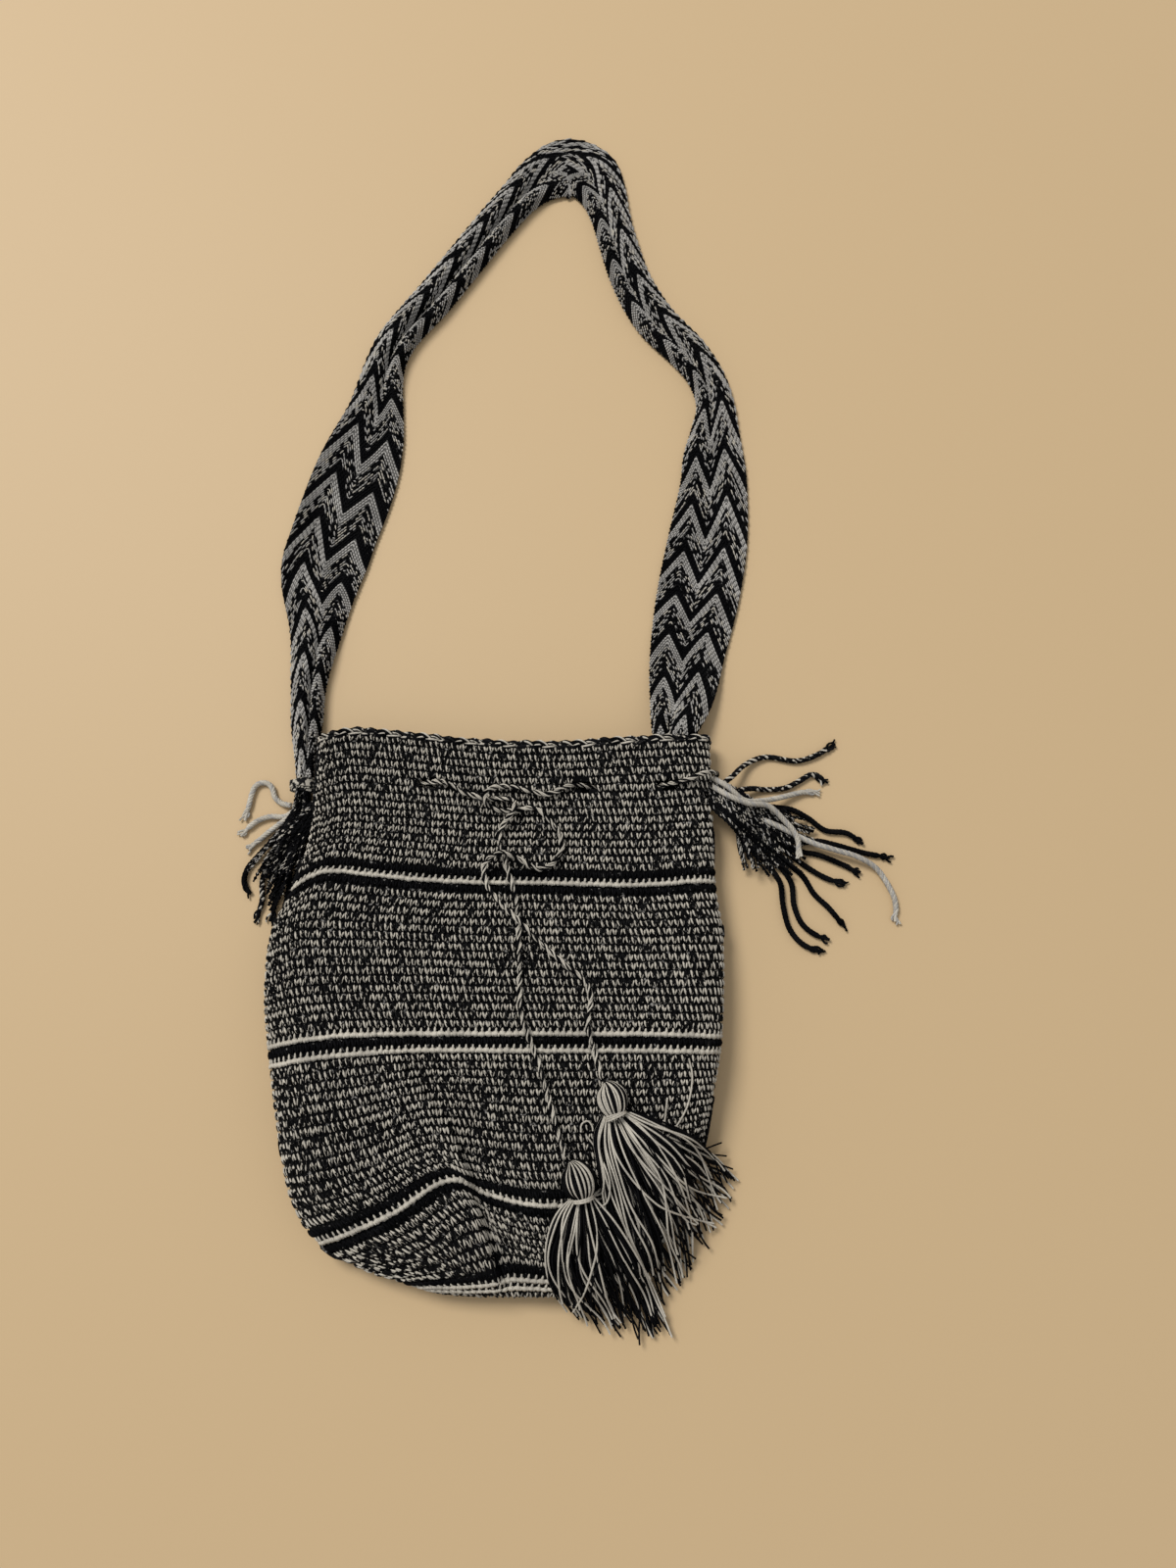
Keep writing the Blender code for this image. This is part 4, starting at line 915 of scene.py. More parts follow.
# %% From the flat band to the lying one
def strap_point(along, across):
    """Places of the lying band; across is 0 at its outer edge and 1 at its inner one."""
    along, across = np.broadcast_arrays(np.asarray(along, float), np.asarray(across, float))
    x, y, z, width, own = (np.interp(along, strap_arc, strap_line[:, k]) for k in range(5))
    tx, ty = (np.interp(along, strap_arc, strap_way[:, k]) for k in range(2))
    gathered = np.clip((BAND - width) / (BAND - NARROW), 0, 1)
    p = mix(across, np.interp(across, quarters, pleated_across), gathered)
    rise = np.interp(across, quarters, pleated_height) * gathered
    squeeze = np.clip(own * 1.6, 0.45, 1.0)
    off = (p - 0.5) * width
    return np.stack([x + ty * off, y - tx * off, z + 1.0 + rise * squeeze], axis=-1)


# Arc lengths where the pale points of the chevrons lie, counted from the left tail.
LEFT_OUTER = (114.0, 139.2, 164.0, 189.9, 216.8, 247.1, 275.6, 304.6, 330.4, 359.1, 386.7, 415.0, 441.3)
LEFT_INNER = (103.4, 128.7, 155.0, 183.0, 211.1, 241.3, 263.4, 290.8, 320.0, 347.5, 374.7, 401.3, 430.7)
LEFT_VALLEY = (91.0, 116.2, 141.0, 166.0, 194.6, 224.7, 253.4, 279.3, 309.9, 332.5, 360.5, 388.2, 416.2)
RIGHT_OUTER = (456.3, 478.3, 506.1, 536.5, 565.8, 595.9, 626.4, 652.9, 678.9, 708.0, 734.1, 756.1,
               780.0, 805.2)
RIGHT_INNER = (469.5, 496.6, 523.0, 549.8, 576.6, 603.1, 630.6, 657.8, 686.1, 713.7, 738.8, 761.0,
               785.3, 813.0)
RIGHT_VALLEY = (479.8, 502.8, 529.8, 558.8, 588.8, 618.5, 647.3, 676.5, 705.5, 730.9, 752.6, 774.7,
                800.8, 826.5)
MIDDLE = 448.0                  # the chevrons of the two legs meet here
BLACK_SHARE, PALE_SHARE = 0.25, 0.25
PLAIN_START, PLAIN_STOP = 47.0, 856.5


def chevron_places(across, outer, inner, valley):
    """Where each chevron crosses a thread of the warp."""
    keys = np.array([valley, outer, valley, inner, valley])
    return np.array([np.interp(across, FLAT_ACROSS, keys[:, k]) for k in range(len(outer))])


def chevron_phase(along, across):
    """Counts chevrons: its fraction is 0 just inside a pale point and grows towards the next black line."""
    left = chevron_places(across, LEFT_OUTER, LEFT_INNER, LEFT_VALLEY)
    right = chevron_places(across, RIGHT_OUTER, RIGHT_INNER, RIGHT_VALLEY)
    if along < MIDDLE:
        places, numbers, value = left, np.arange(len(left), dtype=float), along
    else:
        places, numbers, value = -right, -np.arange(len(right), dtype=float), -along
        places, numbers = places[::-1], numbers[::-1]
    step_first = (numbers[1] - numbers[0]) / (places[1] - places[0])
    step_last = (numbers[-1] - numbers[-2]) / (places[-1] - places[-2])
    if value < places[0]:
        return numbers[0] + (value - places[0]) * step_first
    if value > places[-1]:
        return numbers[-1] + (value - places[-1]) * step_last
    return float(np.interp(value, places, numbers))


print("phase at the middle:", round(chevron_phase(MIDDLE - 0.1, 0.25), 2),
      round(chevron_phase(MIDDLE, 0.25), 2))

# %% [markdown]
# The cloth itself is a grid whose rows follow the strap. Its UV map keeps the place on the flat band:
# one direction counts chevrons, the other is the place across. The material then only has to compare the
# chevron's fraction with two shares to know where black, mottled and pale yarn lie. The cloth lies under
# the grains, so its mottled and pale lines are painted dark grey: painted shade in the gaps between grains.

# %% Material of the band
def chevron_cloth():
    material, shader, wire = new_material("strap_weave_with_painted_shade")
    place = wire.node("ShaderNodeUVMap", {"uv_map": "band"})
    parts = wire.node("ShaderNodeSeparateXYZ", Vector=place)
    count = Wire(parts.tree, parts.socket.node.outputs[1])
    share = count.fraction()
    where = wire.node("ShaderNodeTexCoord", output=3)
    noise = wire.node("ShaderNodeTexNoise", output=0, Vector=where, Scale=420.0, Detail=1.0)
    # The mottled and pale lines are painted in shade here, black with dark grey and plain dark grey, for the
    # gaps between the grains on them; the black lines are the black yarn's own colour.
    marl = noise.step(0.55, 0.65).blend(BLACK, PAINTED_GAP_SHADE)
    pale = share.step(1 - PALE_SHARE - 0.01, 1 - PALE_SHARE + 0.01).blend(marl, PAINTED_GAP_SHADE)
    colour = share.step(BLACK_SHARE - 0.01, BLACK_SHARE + 0.01).blend(BLACK, pale)
    wire.plug(shader.inputs["Base Color"], colour)
    add_bump(wire, shader, noise, 0.5, 0.0005)
    return material


strap_weave_with_painted_shade = chevron_cloth()
print("material:", strap_weave_with_painted_shade.name)


# %% Cloth of the strap
def grid_piece(name, rows, columns, place, material):
    """A grid whose points are put where the function place says, from two shares 0 to 1."""
    bm = bmesh.new()
    uv = bm.loops.layers.uv.new("band")
    bmesh.ops.create_grid(bm, x_segments=rows, y_segments=columns, size=1.0)
    spots = np.array([(v.co.x, v.co.y) for v in bm.verts]) / 2 + 0.5
    moved, marks = place(spots[:, 0], spots[:, 1])
    for vert, spot in zip(bm.verts, moved):
        vert.co = Vector(spot)
    for face in bm.faces:
        for loop in face.loops:
            loop[uv].uv = marks[loop.vert.index]
    if sum(f.normal.z for f in bm.faces) < 0:
        bmesh.ops.reverse_faces(bm, faces=bm.faces)
    mesh = bpy.data.meshes.new(name)
    bm.to_mesh(mesh)
    bm.free()
    for polygon in mesh.polygons:
        polygon.use_smooth = True
    mesh.materials.append(material)
    return riding_piece(name, mesh)


CLOTH_MARGIN = 8.0              # the cloth stops this short of the band's two ends


def strap_place(s, t):
    along = mix(CLOTH_MARGIN, strap_arc[-1] - CLOTH_MARGIN, s)
    marks = [(b, chevron_phase(a, b)) for a, b in zip(along, t)]
    return placed(strap_point(along, t)), marks


strap_cloth = grid_piece("strap_cloth", 900, 32, strap_place, strap_weave_with_painted_shade)
thick = strap_cloth.modifiers.new("thick", "SOLIDIFY")
thick.thickness = 1.2 * MM
thick.offset = 0.0
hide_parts("strap_band")
print("cloth faces:", len(strap_cloth.data.polygons))

# %% [markdown]
# ## Stamping stitches
# Thousands of little grains of yarn make the weave and the crochet. One grain is modelled once, from a
# sphere of very few faces, bent in the middle. Copies of it are then stretched between two places, like
# beads on a string, and joined into one mesh. Each copy carries its own marks in the UV map, so one
# material can make every stitch different.

# %% One grain and its copies
def grain_template(segments, rings, bend=0.0):
    """A grain along X from -1 to 1: its points, faces and the place of each corner along and around."""
    bm = bmesh.new()
    uv = bm.loops.layers.uv.new("yarn")
    bmesh.ops.create_uvsphere(bm, u_segments=segments, v_segments=rings, radius=1.0, calc_uvs=True)
    bmesh.ops.rotate(bm, verts=bm.verts, cent=(0, 0, 0), matrix=Matrix.Rotation(math.pi / 2, 3, "Y"))
    for vert in bm.verts:
        vert.co.z += bend * (1 - vert.co.x**2)
    points = np.array([tuple(v.co) for v in bm.verts])
    bm.verts.index_update()
    faces = [[v.index for v in f.verts] for f in bm.faces]
    marks = np.array([tuple(loop[uv].uv)[::-1] for f in bm.faces for loop in f.loops])
    bm.free()
    return points, faces, marks


def stamp(name, template, centres, halves, sides, ups, marks, numbers, materials):
    """Copies of a grain joined into a mesh: each has a centre and three half axes, in millimetres."""
    points, faces, corner = template
    count = len(centres)
    spots = (centres[:, None, :] + points[None, :, :1] * halves[:, None, :]
             + points[None, :, 1:2] * sides[:, None, :] + points[None, :, 2:] * ups[:, None, :])
    spots = placed(spots.reshape(-1, 3))
    sizes = np.array([len(f) for f in faces])
    corners = np.concatenate([np.array(f) for f in faces])
    shift = np.arange(count)[:, None] * len(points)
    mesh = bpy.data.meshes.new(name)
    mesh.vertices.add(len(spots))
    mesh.vertices.foreach_set("co", spots.ravel())
    mesh.loops.add(count * len(corners))
    mesh.loops.foreach_set("vertex_index", (corners[None, :] + shift).ravel())
    mesh.polygons.add(count * len(sizes))
    starts = np.concatenate([[0], np.cumsum(np.tile(sizes, count))[:-1]])
    mesh.polygons.foreach_set("loop_start", starts)
    mesh.polygons.foreach_set("material_index", np.repeat(numbers, len(sizes)))
    mesh.polygons.foreach_set("use_smooth", np.ones(len(starts), bool))
    layer = mesh.uv_layers.new(name="yarn")
    twist = corner[None, :, :] * np.array([0.6, 0.25])
    second = np.broadcast_to(marks[:, 1:], (count, len(corners)))
    value = np.stack([twist.sum(axis=2) + marks[:, :1], second], axis=2)
    layer.uv.foreach_set("vector", value.ravel())
    for material in materials:
        mesh.materials.append(material)
    mesh.update(calc_edges=True)
    mesh.validate()
    return riding_piece(name, mesh)


small_grain = grain_template(4, 4, 0.3)
print("a grain has", len(small_grain[1]), "faces")

# %% Grains of the strap
LINES = 12                      # lines of grains in one chevron
GRAINS_ACROSS = 40
BLACK_LINES, PALE_LINES = 3, 3
SPECK = 4                       # a grain of the mottled part, pale or grey
SPECK_SHARE, SPECK_PALE = 0.5, 0.35


def strap_grains(start, stop, outer, inner, valley, mirrored):
    """Grains along every chevron line of one leg of the strap."""
    ends, colours = [], []
    table = np.array([chevron_places(a, outer, inner, valley)
                      for a in np.linspace(0, 1, 4 * GRAINS_ACROSS + 1)])
    first, last = -3.0, len(outer) + 1.5

    def line_place(count, across):
        column = table[int(round(across * 4 * GRAINS_ACROSS))]
        k = np.arange(len(column))
        if count < 0:
            return column[0] + count * (column[1] - column[0])
        if count > k[-1]:
            return column[-1] + (count - k[-1]) * (column[-1] - column[-2])
        return float(np.interp(count, k, column))

    for count in np.arange(first, last, 1 / LINES):
        middle = count + 0.5 / LINES
        number = int(round((count % 1) * LINES)) % LINES
        line = LINES - 1 - number if mirrored else number
        shift = 0.5 * (int(round(count * LINES)) % 2)
        for j in range(GRAINS_ACROSS):
            a0 = (j + shift) / GRAINS_ACROSS
            a1 = min(a0 + 1 / GRAINS_ACROSS, 1.0)
            if a1 - a0 < 0.3 / GRAINS_ACROSS:
                continue
            s0, s1 = line_place(middle, a0), line_place(middle, a1)
            if not start < (s0 + s1) / 2 < stop:
                continue
            ends.append((s0, a0, s1, a1))
            if line < BLACK_LINES:
                colours.append(BLACK_YARN)
            elif line >= LINES - PALE_LINES:
                colours.append(GREY_YARN)
            else:
                colours.append(SPECK if chance.uniform() < SPECK_SHARE else BLACK_YARN)
    return np.array(ends), np.array(colours)


def strap_grain_piece(name, ends, colours):
    """Grains between their ends, standing on the band; those of the mottled part are slim and proud."""
    p0 = strap_point(ends[:, 0], ends[:, 1])
    p1 = strap_point(ends[:, 2], ends[:, 3])
    middle_along, middle_across = (ends[:, 0] + ends[:, 2]) / 2, (ends[:, 1] + ends[:, 3]) / 2
    ahead = strap_point(middle_along + 1.5, middle_across) - strap_point(middle_along - 1.5, middle_across)
    wide = (strap_point(middle_along, np.minimum(middle_across + 0.02, 1))
            - strap_point(middle_along, np.maximum(middle_across - 0.02, 0)))
    up = np.cross(wide, ahead)
    up /= np.linalg.norm(up, axis=1)[:, None]
    up *= np.sign(up[:, 2:3] + 1e-9)
    half = (p1 - p0) / 2
    long = np.linalg.norm(half, axis=1)[:, None]
    direction = half / np.maximum(long, 1e-6)
    side = np.cross(up, direction)
    centre = (p0 + p1) / 2 + up * 0.75
    count = len(ends)
    size = chance.uniform(0.9, 1.1, (count, 1))
    tilt = chance.normal(0, 0.06, (count, 1))
    direction = direction + side * tilt
    marks = np.stack([chance.uniform(0, 1, count), chance.uniform(0, 1, count)], axis=1)
    speck = (colours == SPECK)[:, None]
    shade = np.where(chance.uniform(size=count) < SPECK_PALE, PALE_YARN, GREY_YARN)
    reach = np.where(speck, 1.15, 1.05) * size
    width = np.where(speck, 0.38, 0.53) * size
    return stamp(name, small_grain, centre + up * np.where(speck, 0.12, 0.0),
                 direction * np.clip(long, 0.7, 2.2) * reach, side * width, up * 0.5 * size, marks,
                 np.where(colours == SPECK, shade, colours), YARNS)


for leg, start, stop, outer, inner, valley, mirrored in (
        ("left", PLAIN_START, MIDDLE, LEFT_OUTER, LEFT_INNER, LEFT_VALLEY, False),
        ("right", MIDDLE, PLAIN_STOP, RIGHT_OUTER, RIGHT_INNER, RIGHT_VALLEY, True)):
    ends, colours = strap_grains(start, stop, outer, inner, valley, mirrored)
    grains = strap_grain_piece(f"strap_grains_{leg}", ends, colours)
    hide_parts("strap_band")
    print(leg, "leg:", len(ends), "grains")

# %% [markdown]
# Beyond each lashing the warp isn't woven any more: its cords fan out side by side, some marled and some
# black, and end where they were cut, so no two are of one length.

# %% Warp cords of the tails
WARP_CORDS = 24
WARP_PITCH = 5.5


def beyond(along, across):
    """A place of the band, or past its end on a straight line."""
    inside = np.clip(along, 1.0, strap_arc[-1] - 1.0)
    nudge = np.where(along < MIDDLE, 1.0, -1.0)
    end = strap_point(inside, across)
    slope = end - strap_point(inside + nudge, across)
    return end + slope * np.abs(along - inside)[:, None]


def warp_tail(start, stop, longest):
    """Fine cords from under the lashing (start) to uneven ends past the band's end (stop)."""
    strands = []
    for k in range(WARP_CORDS):
        across = np.clip((k + 0.5) / WARP_CORDS + chance.normal(0, 0.012), 0, 1)
        past = chance.uniform(0, longest)
        last = stop + math.copysign(past, stop - start)
        along = np.linspace(start, last, int(abs(last - start) / 1.6))
        line = beyond(along, np.full(len(along), across))
        free = np.linspace(0, 1, len(line))[:, None]**4
        line[:, :2] += chance.normal(0, 2.2, 2) * free
        line[:, 2] = np.maximum(line[:, 2] + 1.0 + 1.2 * (k % 3), 1.4)
        colours = yarns(("bbbbmb", "mbgbmb")[chance.choice(2)])
        strands += two_plies(line, 2.1, WARP_PITCH, colours, chance.uniform(0, 6.3))
    return strands


# Guides of the cords of each fan, from its upper side to its lower one: out beside the bag, over and down.
FANS = {
    "right": (
        ((94.1, -64.8, 11), (107.4, -72.7, 15.5), (120.9, -79.4, 9), (136.4, -82, 3)),
        ((93.5, -70.1, 12), (105.8, -79.8, 17), (124.2, -88.1, 9), (145.9, -93.3, 3)),
        ((93.4, -75.7, 12), (105, -86.5, 17), (120.4, -97.9, 8.5), (139.1, -110.6, 3)),
        ((93.8, -80.5, 11), (103.5, -91.2, 15.5), (111.3, -99.1, 8), (122.5, -114.3, 3)),
    ),
    "left": (
        ((-98.4, -72.6, 7.5), (-110.1, -84.5, 9.5), (-119.2, -94.8, 6), (-128.5, -109.1, 3)),
        ((-97.6, -73.6, 7.5), (-106.5, -89.8, 9), (-114.9, -101.7, 6), (-124.9, -120.9, 3)),
        ((-96.9, -75, 7), (-102.7, -88.2, 8), (-109.8, -104.6, 5.5), (-121.4, -133, 2.5)),
    ),
}
FAN_CORDS = {"right": 22, "left": 10}
FAN_BLACK = {"right": (0.2, 0.5), "left": (0.0, 1.1)}   # share of black cords at the first and last guide


def fan(side):
    """Cords side by side between the guides, marled ones above and more black ones below."""
    guides = np.array(FANS[side], float)
    strands = []
    for k in range(FAN_CORDS[side]):
        share = (k + 0.5) / FAN_CORDS[side] * (len(guides) - 1)
        points = np.array([[np.interp(share, range(len(guides)), guides[:, p, c]) for c in range(3)]
                           for p in range(guides.shape[1])])
        points[-1, :2] += (points[-1] - points[-2])[:2] * chance.uniform(-0.25, 0.25)
        points[1:, 2] += 0.9 * (k % 2)
        line = smooth_line(points, 1.5)
        black = chance.uniform() < mix(*FAN_BLACK[side], share / (len(guides) - 1))
        colours = yarns("bbbbbb" if black else ("mbbbmb", "mbgbmb")[k % 2])
        strands += two_plies(line, 2.3, WARP_PITCH, colours, chance.uniform(0, 6.3))
    return strands


TAIL_GAP = 3.0                  # each tail starts this far past the woven part, hidden by the lashing
tails = warp_tail(PLAIN_START - TAIL_GAP, 1.0, 12.0)
tails += warp_tail(PLAIN_STOP + TAIL_GAP, float(strap_arc[-1]) - 1.0, 4.0)
warp = tubes("strap_warp", tails + fan("left") + fan("right"), YARNS)
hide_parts("strap_band")
print("warp faces:", len(warp.data.polygons))

# %% [markdown]
# ## The lashings
# A few turns of yarn pulled tight hold each gathered end: one coil round the bundle, and a shorter one
# over it.

# %% Coils round the gathered ends
# For each: its middle, the direction of its axis in degrees, its half width and half height, and the
# yarn of its upper coil.
LASHINGS = {
    "lashing_left": (-109.8, -70, 6.6, 92, 5.4, 4.1, MIXED_YARN),
    "lashing_right": (103.6, -80.0, 9.9, -18, 6.0, 4.4, BLACK_YARN),
}
for name, (x, y, z, turn, wide, high, top) in LASHINGS.items():
    axis = np.array([math.cos(math.radians(turn)), math.sin(math.radians(turn)), 0])
    side = np.array([-axis[1], axis[0], 0])
    strands = []
    for layer, (turns, long, out) in enumerate(((6, 6.2, 0.2), (4, 3.6, 0.9))):
        angle = np.linspace(0, 2 * math.pi * turns, 26 * turns)
        along = mix(-long / 2, long / 2, angle / angle[-1]) * (1, -1)[layer] + 0.7 * np.cos(angle * 0.93)
        line = (np.array([x, y, z]) + along[:, None] * axis
                + np.cos(angle)[:, None] * side * (wide + out)
                + np.sin(angle)[:, None] * np.array([0, 0, 1]) * (high + out))
        strands.append((line, 0.55, (MIXED_YARN, top)[layer]))
    coil = tubes(f"{name}_coil", strands, YARNS)
    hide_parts(name)
    print(coil.name, "made")

# %% [markdown]
# ## The crocheted cloth
# Crochet grows in rounds, and each round is a ring of stitches of equal size. So the bag's wall is read
# as a net: 68 rings, each with the same number of places round the bag. Any stitch can then ask the net
# for its place and for the direction out of the cloth.

# %% A net of the wall
HALF_NET = 200
LAST_RING = 67
turns_round = -np.cos(np.linspace(0, math.pi, HALF_NET + 1))
net = np.zeros((LAST_RING + 1, 2 * HALF_NET, 3))
for row in range(LAST_RING + 1):
    for k in range(HALF_NET):
        net[row, k] = wall_point(row, turns_round[k], True)
        net[row, HALF_NET + k] = wall_point(row, -turns_round[k], False)
print("net:", net.shape)


def net_point(grid, row, column):
    """The net read between its rings and columns."""
    row = np.clip(row, 0, LAST_RING - 1e-6)
    column = column % (2 * HALF_NET)
    r, c = row.astype(int), column.astype(int)
    fr, fc = (row - r)[..., None], (column - c)[..., None]
    d = (c + 1) % (2 * HALF_NET)
    top = mix(grid[r, c], grid[r, d], fc)
    low = mix(grid[r + 1, c], grid[r + 1, d], fc)
    return mix(top, low, fr)


down = np.gradient(net, axis=0)
around = np.roll(net, -1, axis=1) - np.roll(net, 1, axis=1)
outward = np.cross(around, down)
outward /= np.maximum(np.linalg.norm(outward, axis=2), 1e-9)[..., None]
if outward[30, HALF_NET // 2, 2] < 0:
    outward = -outward
print("front looks up:", outward[30, HALF_NET // 2].round(2))
print("back looks down:", outward[30, 3 * HALF_NET // 2].round(2))

# %% Dark sheet behind the stitches: the dark yarn there, and painted shade in the gaps between stitches
EYELETS = ((-44, -70.5, True), (32, -72.5, True), (74, -71.5, True), (60, -71, False), (15, -71, False),
           (-30, -71, False))
EYELET_HALF = (6.6, 2.9)
SIDE_HOLE = (96, -77, 11.3)
SIDE_HOLE_HALF = (9, 7.5, 7.0)
BASE_STARTS = -290.0            # the open edge below this is the base's, not the mouth's or a hole's


def in_hole(x, y, z):
    """Whether a place of the wall falls in an eyelet or in the hole at the side."""
    middle = side_height(y)
    for ex, ey, front in EYELETS:
        if front == (z > middle) and ((x - ex) / EYELET_HALF[0])**2 + ((y - ey) / EYELET_HALF[1])**2 < 1:
            return True
    return sum(((a - b) / half)**2 for a, b, half in zip((x, y, z), SIDE_HOLE, SIDE_HOLE_HALF)) < 1


def backing_material():
    material, shader, wire = new_material("cloth_behind_with_painted_shade")
    where = wire.node("ShaderNodeTexCoord", output=3)
    noise = wire.node("ShaderNodeTexNoise", output=0, Vector=where, Scale=500.0, Detail=2.0)
    # Mostly black with a few grey patches: the dark ply of the yarn behind the stitches, and painted shade in
    # the gaps between them, also under the pale rounds.
    wire.plug(shader.inputs["Base Color"], noise.step(0.6, 0.75).blend(BLACK, GREY_SHADE))
    add_bump(wire, shader, noise, 0.6, 0.0006)
    return material


def shell_place(s, t):
    """Rows from the rim down, columns round the bag; the last column meets the first."""
    row, column = s * LAST_RING, t * 2 * HALF_NET
    spot = net_point(net, row, column) - net_point(outward, row, column) * 1.0
    return placed(spot), [(a, b) for a, b in zip(s, t)]


shell = grid_piece("bag_backing_with_painted_shade", LAST_RING * 2, 2 * HALF_NET, shell_place, backing_material())
bm = bmesh.new()
bm.from_mesh(shell.data)
bmesh.ops.remove_doubles(bm, verts=bm.verts, dist=0.00002)
centre = CENTRE * MM
holes = [f for f in bm.faces if in_hole(*((np.array(f.calc_center_median()) + centre) / MM))]
bmesh.ops.delete(bm, geom=holes, context="FACES")
low_edge = [e for e in bm.edges if e.is_boundary and (e.verts[0].co.y + centre[1]) / MM < BASE_STARTS]
bmesh.ops.edgeloop_fill(bm, edges=low_edge)
bmesh.ops.recalc_face_normals(bm, faces=bm.faces)
bm.to_mesh(shell.data)
bm.free()
thick = shell.modifiers.new("thick", "SOLIDIFY")
thick.thickness = 1.4 * MM
thick.offset = -1.0
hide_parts("bag_body")
print("cloth faces:", len(shell.data.polygons), "after", len(holes), "were cut for holes")

# %% [markdown]
# ## The stitches
# A single crochet shows as a V whose two legs slant the same way, because the work is always turned in
# the same direction: the left leg is long and lies on top, the right one is short and half hidden. The
# mottled look comes from the yarn itself, black and pale plies twisted together, so the colour changes
# along each leg. In the stripes the yarn is plain, and the pale rounds bite into the black ones.

# %% Marled yarn
def marl_material():
    material, shader, wire = new_material("yarn_marl")
    parts = wire.node("ShaderNodeSeparateXYZ", Vector=wire.node("ShaderNodeUVMap", {"uv_map": "yarn"}))
    twist = Wire(parts.tree, parts.socket.node.outputs[0])
    where = wire.node("ShaderNodeTexCoord", output=3)
    noise = wire.node("ShaderNodeTexNoise", output=0, Vector=where, Scale=900.0, Detail=1.0)
    value = twist.wave() + (noise - 0.5) * 1.4
    fibre = wire.node("ShaderNodeTexNoise", output=0, Vector=where, Scale=1500.0, Detail=1.0)
    clean = Wire(parts.tree, parts.socket.node.outputs[1])
    light = (fibre * 0.5 + clean * 0.6).blend(PALE_SHADE, PALE)
    wire.plug(shader.inputs["Base Color"], value.step(0.05, 0.35).blend(BLACK, light))
    add_bump(wire, shader, fibre, 0.4, 0.0003)
    return material


yarn_marl = marl_material()
CROCHET_YARNS = [yarn_black, yarn_pale, yarn_marl]
STRIPES = ((18, "bpb"), (36.5, "pbp"), (55, "bpb"), (65, "bpp"))
STITCH, PALE_STITCH = 2.72, 3.15


def row_yarn(row):
    """Which yarn a round is made of."""
    for middle, colours in STRIPES:
        k = math.floor(row + 0.5 - (middle - 1.5))
        if 0 <= k < 3:
            return "bp".index(colours[k])
    return 2


LEGS = (((-0.30, -0.50), (0.14, 0.42), 0.60), ((0.45, -0.40), (0.22, 0.40), 0.46))
# A plain pale round is a closed line of round loops, and each of them bites into the round above.
PALE_LEGS = (((-0.55, 0.10), (0.55, 0.10), 1.5), ((0.50, -0.10), (0.48, 0.40), 0.70),
             ((0.02, 0.05), (0.10, -0.66), 0.60))
TOP_PLY, UNDER_PLY = -0.05, 0.45  # the twist that shows its light or its dark ply in a leg's middle
LIGHT_SHARE = (0.84, 0.34, 0.5)   # how often each leg of a stitch shows its light ply
BLACK_SWELL = 1.2                 # legs of black rounds are drawn thicker, so that they close up


def stitch_rounds():
    """Ends of every leg as row and column of the net, with its yarn and its marks."""
    found = []
    all_round = np.arange(2 * HALF_NET + 1, dtype=float)
    for row in range(LAST_RING):
        ring = net_point(net, np.full(len(all_round), row + 0.5), all_round)
        length = run_length(ring)
        yarn = row_yarn(row)
        count = round(length[-1] / (PALE_STITCH if yarn == 1 else STITCH))
        step = length[-1] / count
        slip = 0.37 * row % 1
        for k in range(count):
            at = (k + slip) * step
            centre = net_point(net, np.array([row + 0.5]), np.interp([at], length, all_round))[0]
            if in_hole(*centre):
                continue
            swell = BLACK_SWELL if yarn == 0 else 1.0
            for number, ((s0, t0), (s1, t1), thick) in enumerate(PALE_LEGS if yarn == 1 else LEGS):
                s0, s1, t0, t1 = np.array([s0, s1, t0, t1]) + chance.normal(0, 0.045, 4)
                first, last = np.interp([at + s0 * step, at + s1 * step], length, all_round)
                light = chance.uniform() < LIGHT_SHARE[number]
                phase = (TOP_PLY if light else UNDER_PLY) + chance.normal(0, 0.09)
                found.append((row + 0.5 + t0, first, row + 0.5 + t1, last, thick * swell, yarn, phase))
    return np.array(found)


legs = stitch_rounds()
print("legs of stitches:", len(legs))

# %% Stamp the stitches
leg_grain = grain_template(4, 4, 0.35)


LOW_LEG = 0.78                  # the thick legs of pale rounds stand no higher than this


def crochet_piece(name, chosen):
    """Legs of stitches as one mesh, each standing on the net along its outward direction."""
    p0 = net_point(net, chosen[:, 0], chosen[:, 1])
    p1 = net_point(net, chosen[:, 2], chosen[:, 3])
    up = net_point(outward, (chosen[:, 0] + chosen[:, 2]) / 2, chosen[:, 1])
    up /= np.linalg.norm(up, axis=1)[:, None]
    half = (p1 - p0) / 2
    long = np.linalg.norm(half, axis=1)[:, None]
    direction = half / np.maximum(long, 1e-6)
    side = np.cross(up, direction)
    thick = chosen[:, 4:5] * chance.uniform(0.92, 1.08, (len(chosen), 1))
    high = np.minimum(thick, LOW_LEG)
    centre = (p0 + p1) / 2 + up * (high - 0.75)
    marks = np.stack([chosen[:, 6], chance.uniform(0, 1, len(chosen))], axis=1)
    piece = stamp(name, leg_grain, centre, direction * np.clip(long, 0.8, 3.0), side * thick,
                  up * high * 0.95, marks, chosen[:, 5].astype(int), CROCHET_YARNS)
    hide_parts("bag_body")
    return piece


middle_column = (legs[:, 1] + legs[:, 3]) / 2 % (2 * HALF_NET)
front = middle_column < HALF_NET
for side_name, side_mask in (("front", front), ("back", ~front)):
    for part, low, high in (("upper", -2, 30), ("lower", 30, LAST_RING + 2)):
        chosen = legs[side_mask & (legs[:, 0] >= low) & (legs[:, 0] < high)]
        piece = crochet_piece(f"stitches_{side_name}_{part}", chosen)
        print(piece.name, len(chosen), "legs")

# %% [markdown]
# ## The plaited rim
# The mouth is finished with crossed stitches, which look like a plait lying on the edge: three bundles of
# yarn that swing from side to side and dive under each other twice for each swing. The number of swings
# is a whole one, so the plait closes on itself.

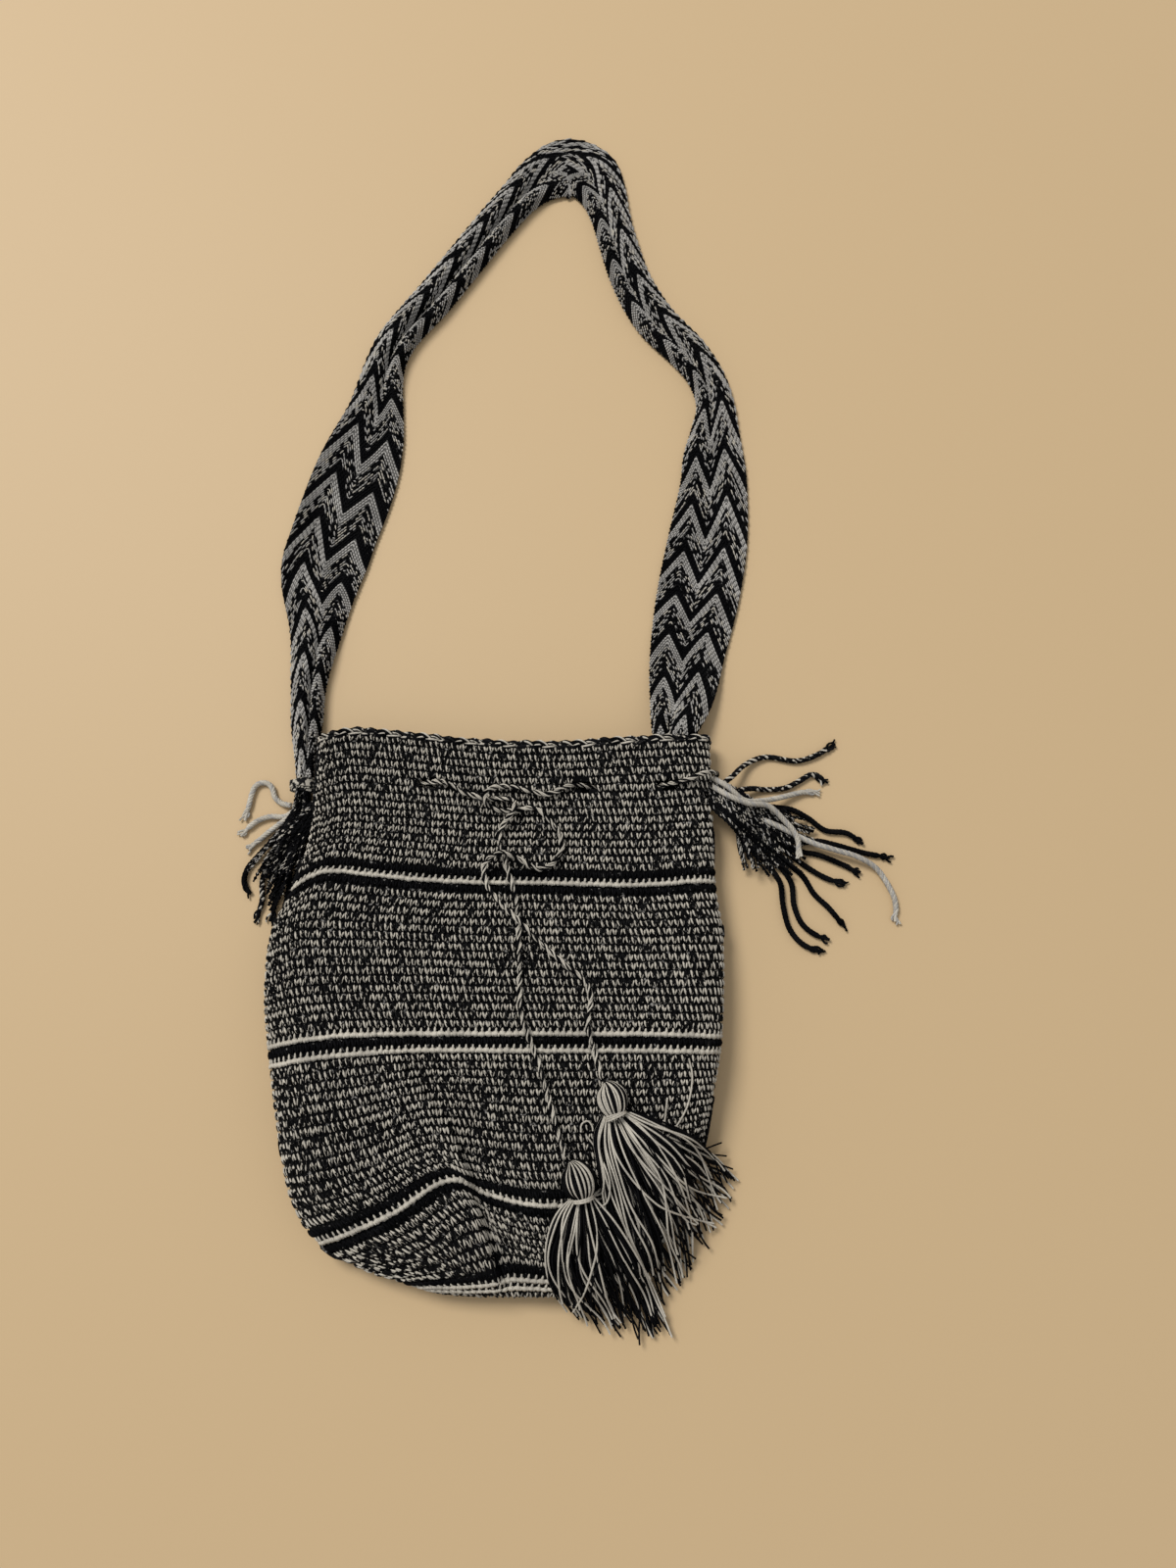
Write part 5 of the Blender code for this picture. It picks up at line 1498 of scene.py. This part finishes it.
# %% Plait of crossed stitches
PLAIT_PITCH = 19.0
PLAIT_WIDE, PLAIT_HIGH = 1.45, 1.0
BUNDLE = [(0.75 * math.cos(a), 0.75 * math.sin(a)) for a in np.arange(5) * 2 * math.pi / 5]
rim_ring = net[0][np.r_[0:2 * HALF_NET, 0]]
rim_line = evenly(rim_ring, 0.9)
inwards = np.cross(np.gradient(rim_line, axis=0), (0, 1, 0))
inwards /= np.linalg.norm(inwards, axis=1)[:, None]
middle_of_mouth = rim_line.mean(axis=0)
inwards *= np.sign(((middle_of_mouth - rim_line) * inwards).sum(axis=1).mean())
rim_line = rim_line + inwards * 0.9 + np.array([0, 1.0, 0])
tangent = np.gradient(rim_line, axis=0)
tangent /= np.linalg.norm(tangent, axis=1)[:, None]
turns = round(run_length(rim_line)[-1] / PLAIT_PITCH)
angle = 2 * math.pi * turns * np.linspace(0, 1, len(rim_line))
mouthward = np.cross(tangent, inwards)
strands = []
for ply in range(3):
    a = angle + ply * 2 * math.pi / 3
    uneven = 1 + 0.18 * np.sin(angle * 3 / turns + ply) + 0.12 * np.sin(angle * 7 / turns + 2 * ply)
    bundle = (rim_line + PLAIT_HIGH * np.sin(2 * a)[:, None] * inwards
              + (PLAIT_WIDE * uneven * np.sin(a))[:, None] * mouthward)
    for k, (u, v) in enumerate(BUNDLE):
        off = ((u * np.cos(a) - v * np.sin(a))[:, None] * inwards
               + (u * np.sin(a) + v * np.cos(a))[:, None] * mouthward)
        strands.append((bundle + off, 0.5, yarns("mbpbb")[(k + 2 * ply) % 5]))
rim = tubes("rim_rope", strands, YARNS)
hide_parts("bag_body")
print("plait turns:", turns)

# %% [markdown]
# ## The floor and the light
# A plain pale floor and one large soft light from the upper left show the object as plainly as possible.

# %% Floor and light
def floor_piece():
    bm = bmesh.new()
    bmesh.ops.create_grid(bm, x_segments=1, y_segments=1, size=2.0)
    mesh = bpy.data.meshes.new("floor")
    bm.to_mesh(mesh)
    bm.free()
    floor = bpy.data.objects.new("floor", mesh)
    material = bpy.data.materials.new("floor_plain")
    material.use_nodes = True
    shader = material.node_tree.nodes["Principled BSDF"]
    shader.inputs["Base Color"].default_value = (0.58, 0.42, 0.235, 1.0)
    shader.inputs["Roughness"].default_value = 0.6
    mesh.materials.append(material)
    bpy.context.scene.collection.objects.link(floor)
    return floor


floor = floor_piece()
lamp = bpy.data.objects.new("soft_lamp", bpy.data.lights.new("soft_lamp", "AREA"))
lamp.data.shape = "DISK"
lamp.data.size = 2.4
lamp.data.energy = 260.0
lamp.data.color = (1.0, 0.98, 0.95)
lamp.location = (-2.6, 2.6, 4.6)
lamp.rotation_euler = Vector((2.6, -2.7, -4.6)).to_track_quat("-Z", "Y").to_euler()
bpy.context.scene.collection.objects.link(lamp)
world = bpy.data.worlds.new("soft_world")
world.use_nodes = True
world.node_tree.nodes["Background"].inputs["Color"].default_value = (1.0, 1.0, 1.0, 1.0)
world.node_tree.nodes["Background"].inputs["Strength"].default_value = 0.46
bpy.context.scene.world = world
bpy.context.scene.view_settings.view_transform = "Standard"
print("floor and light ready")
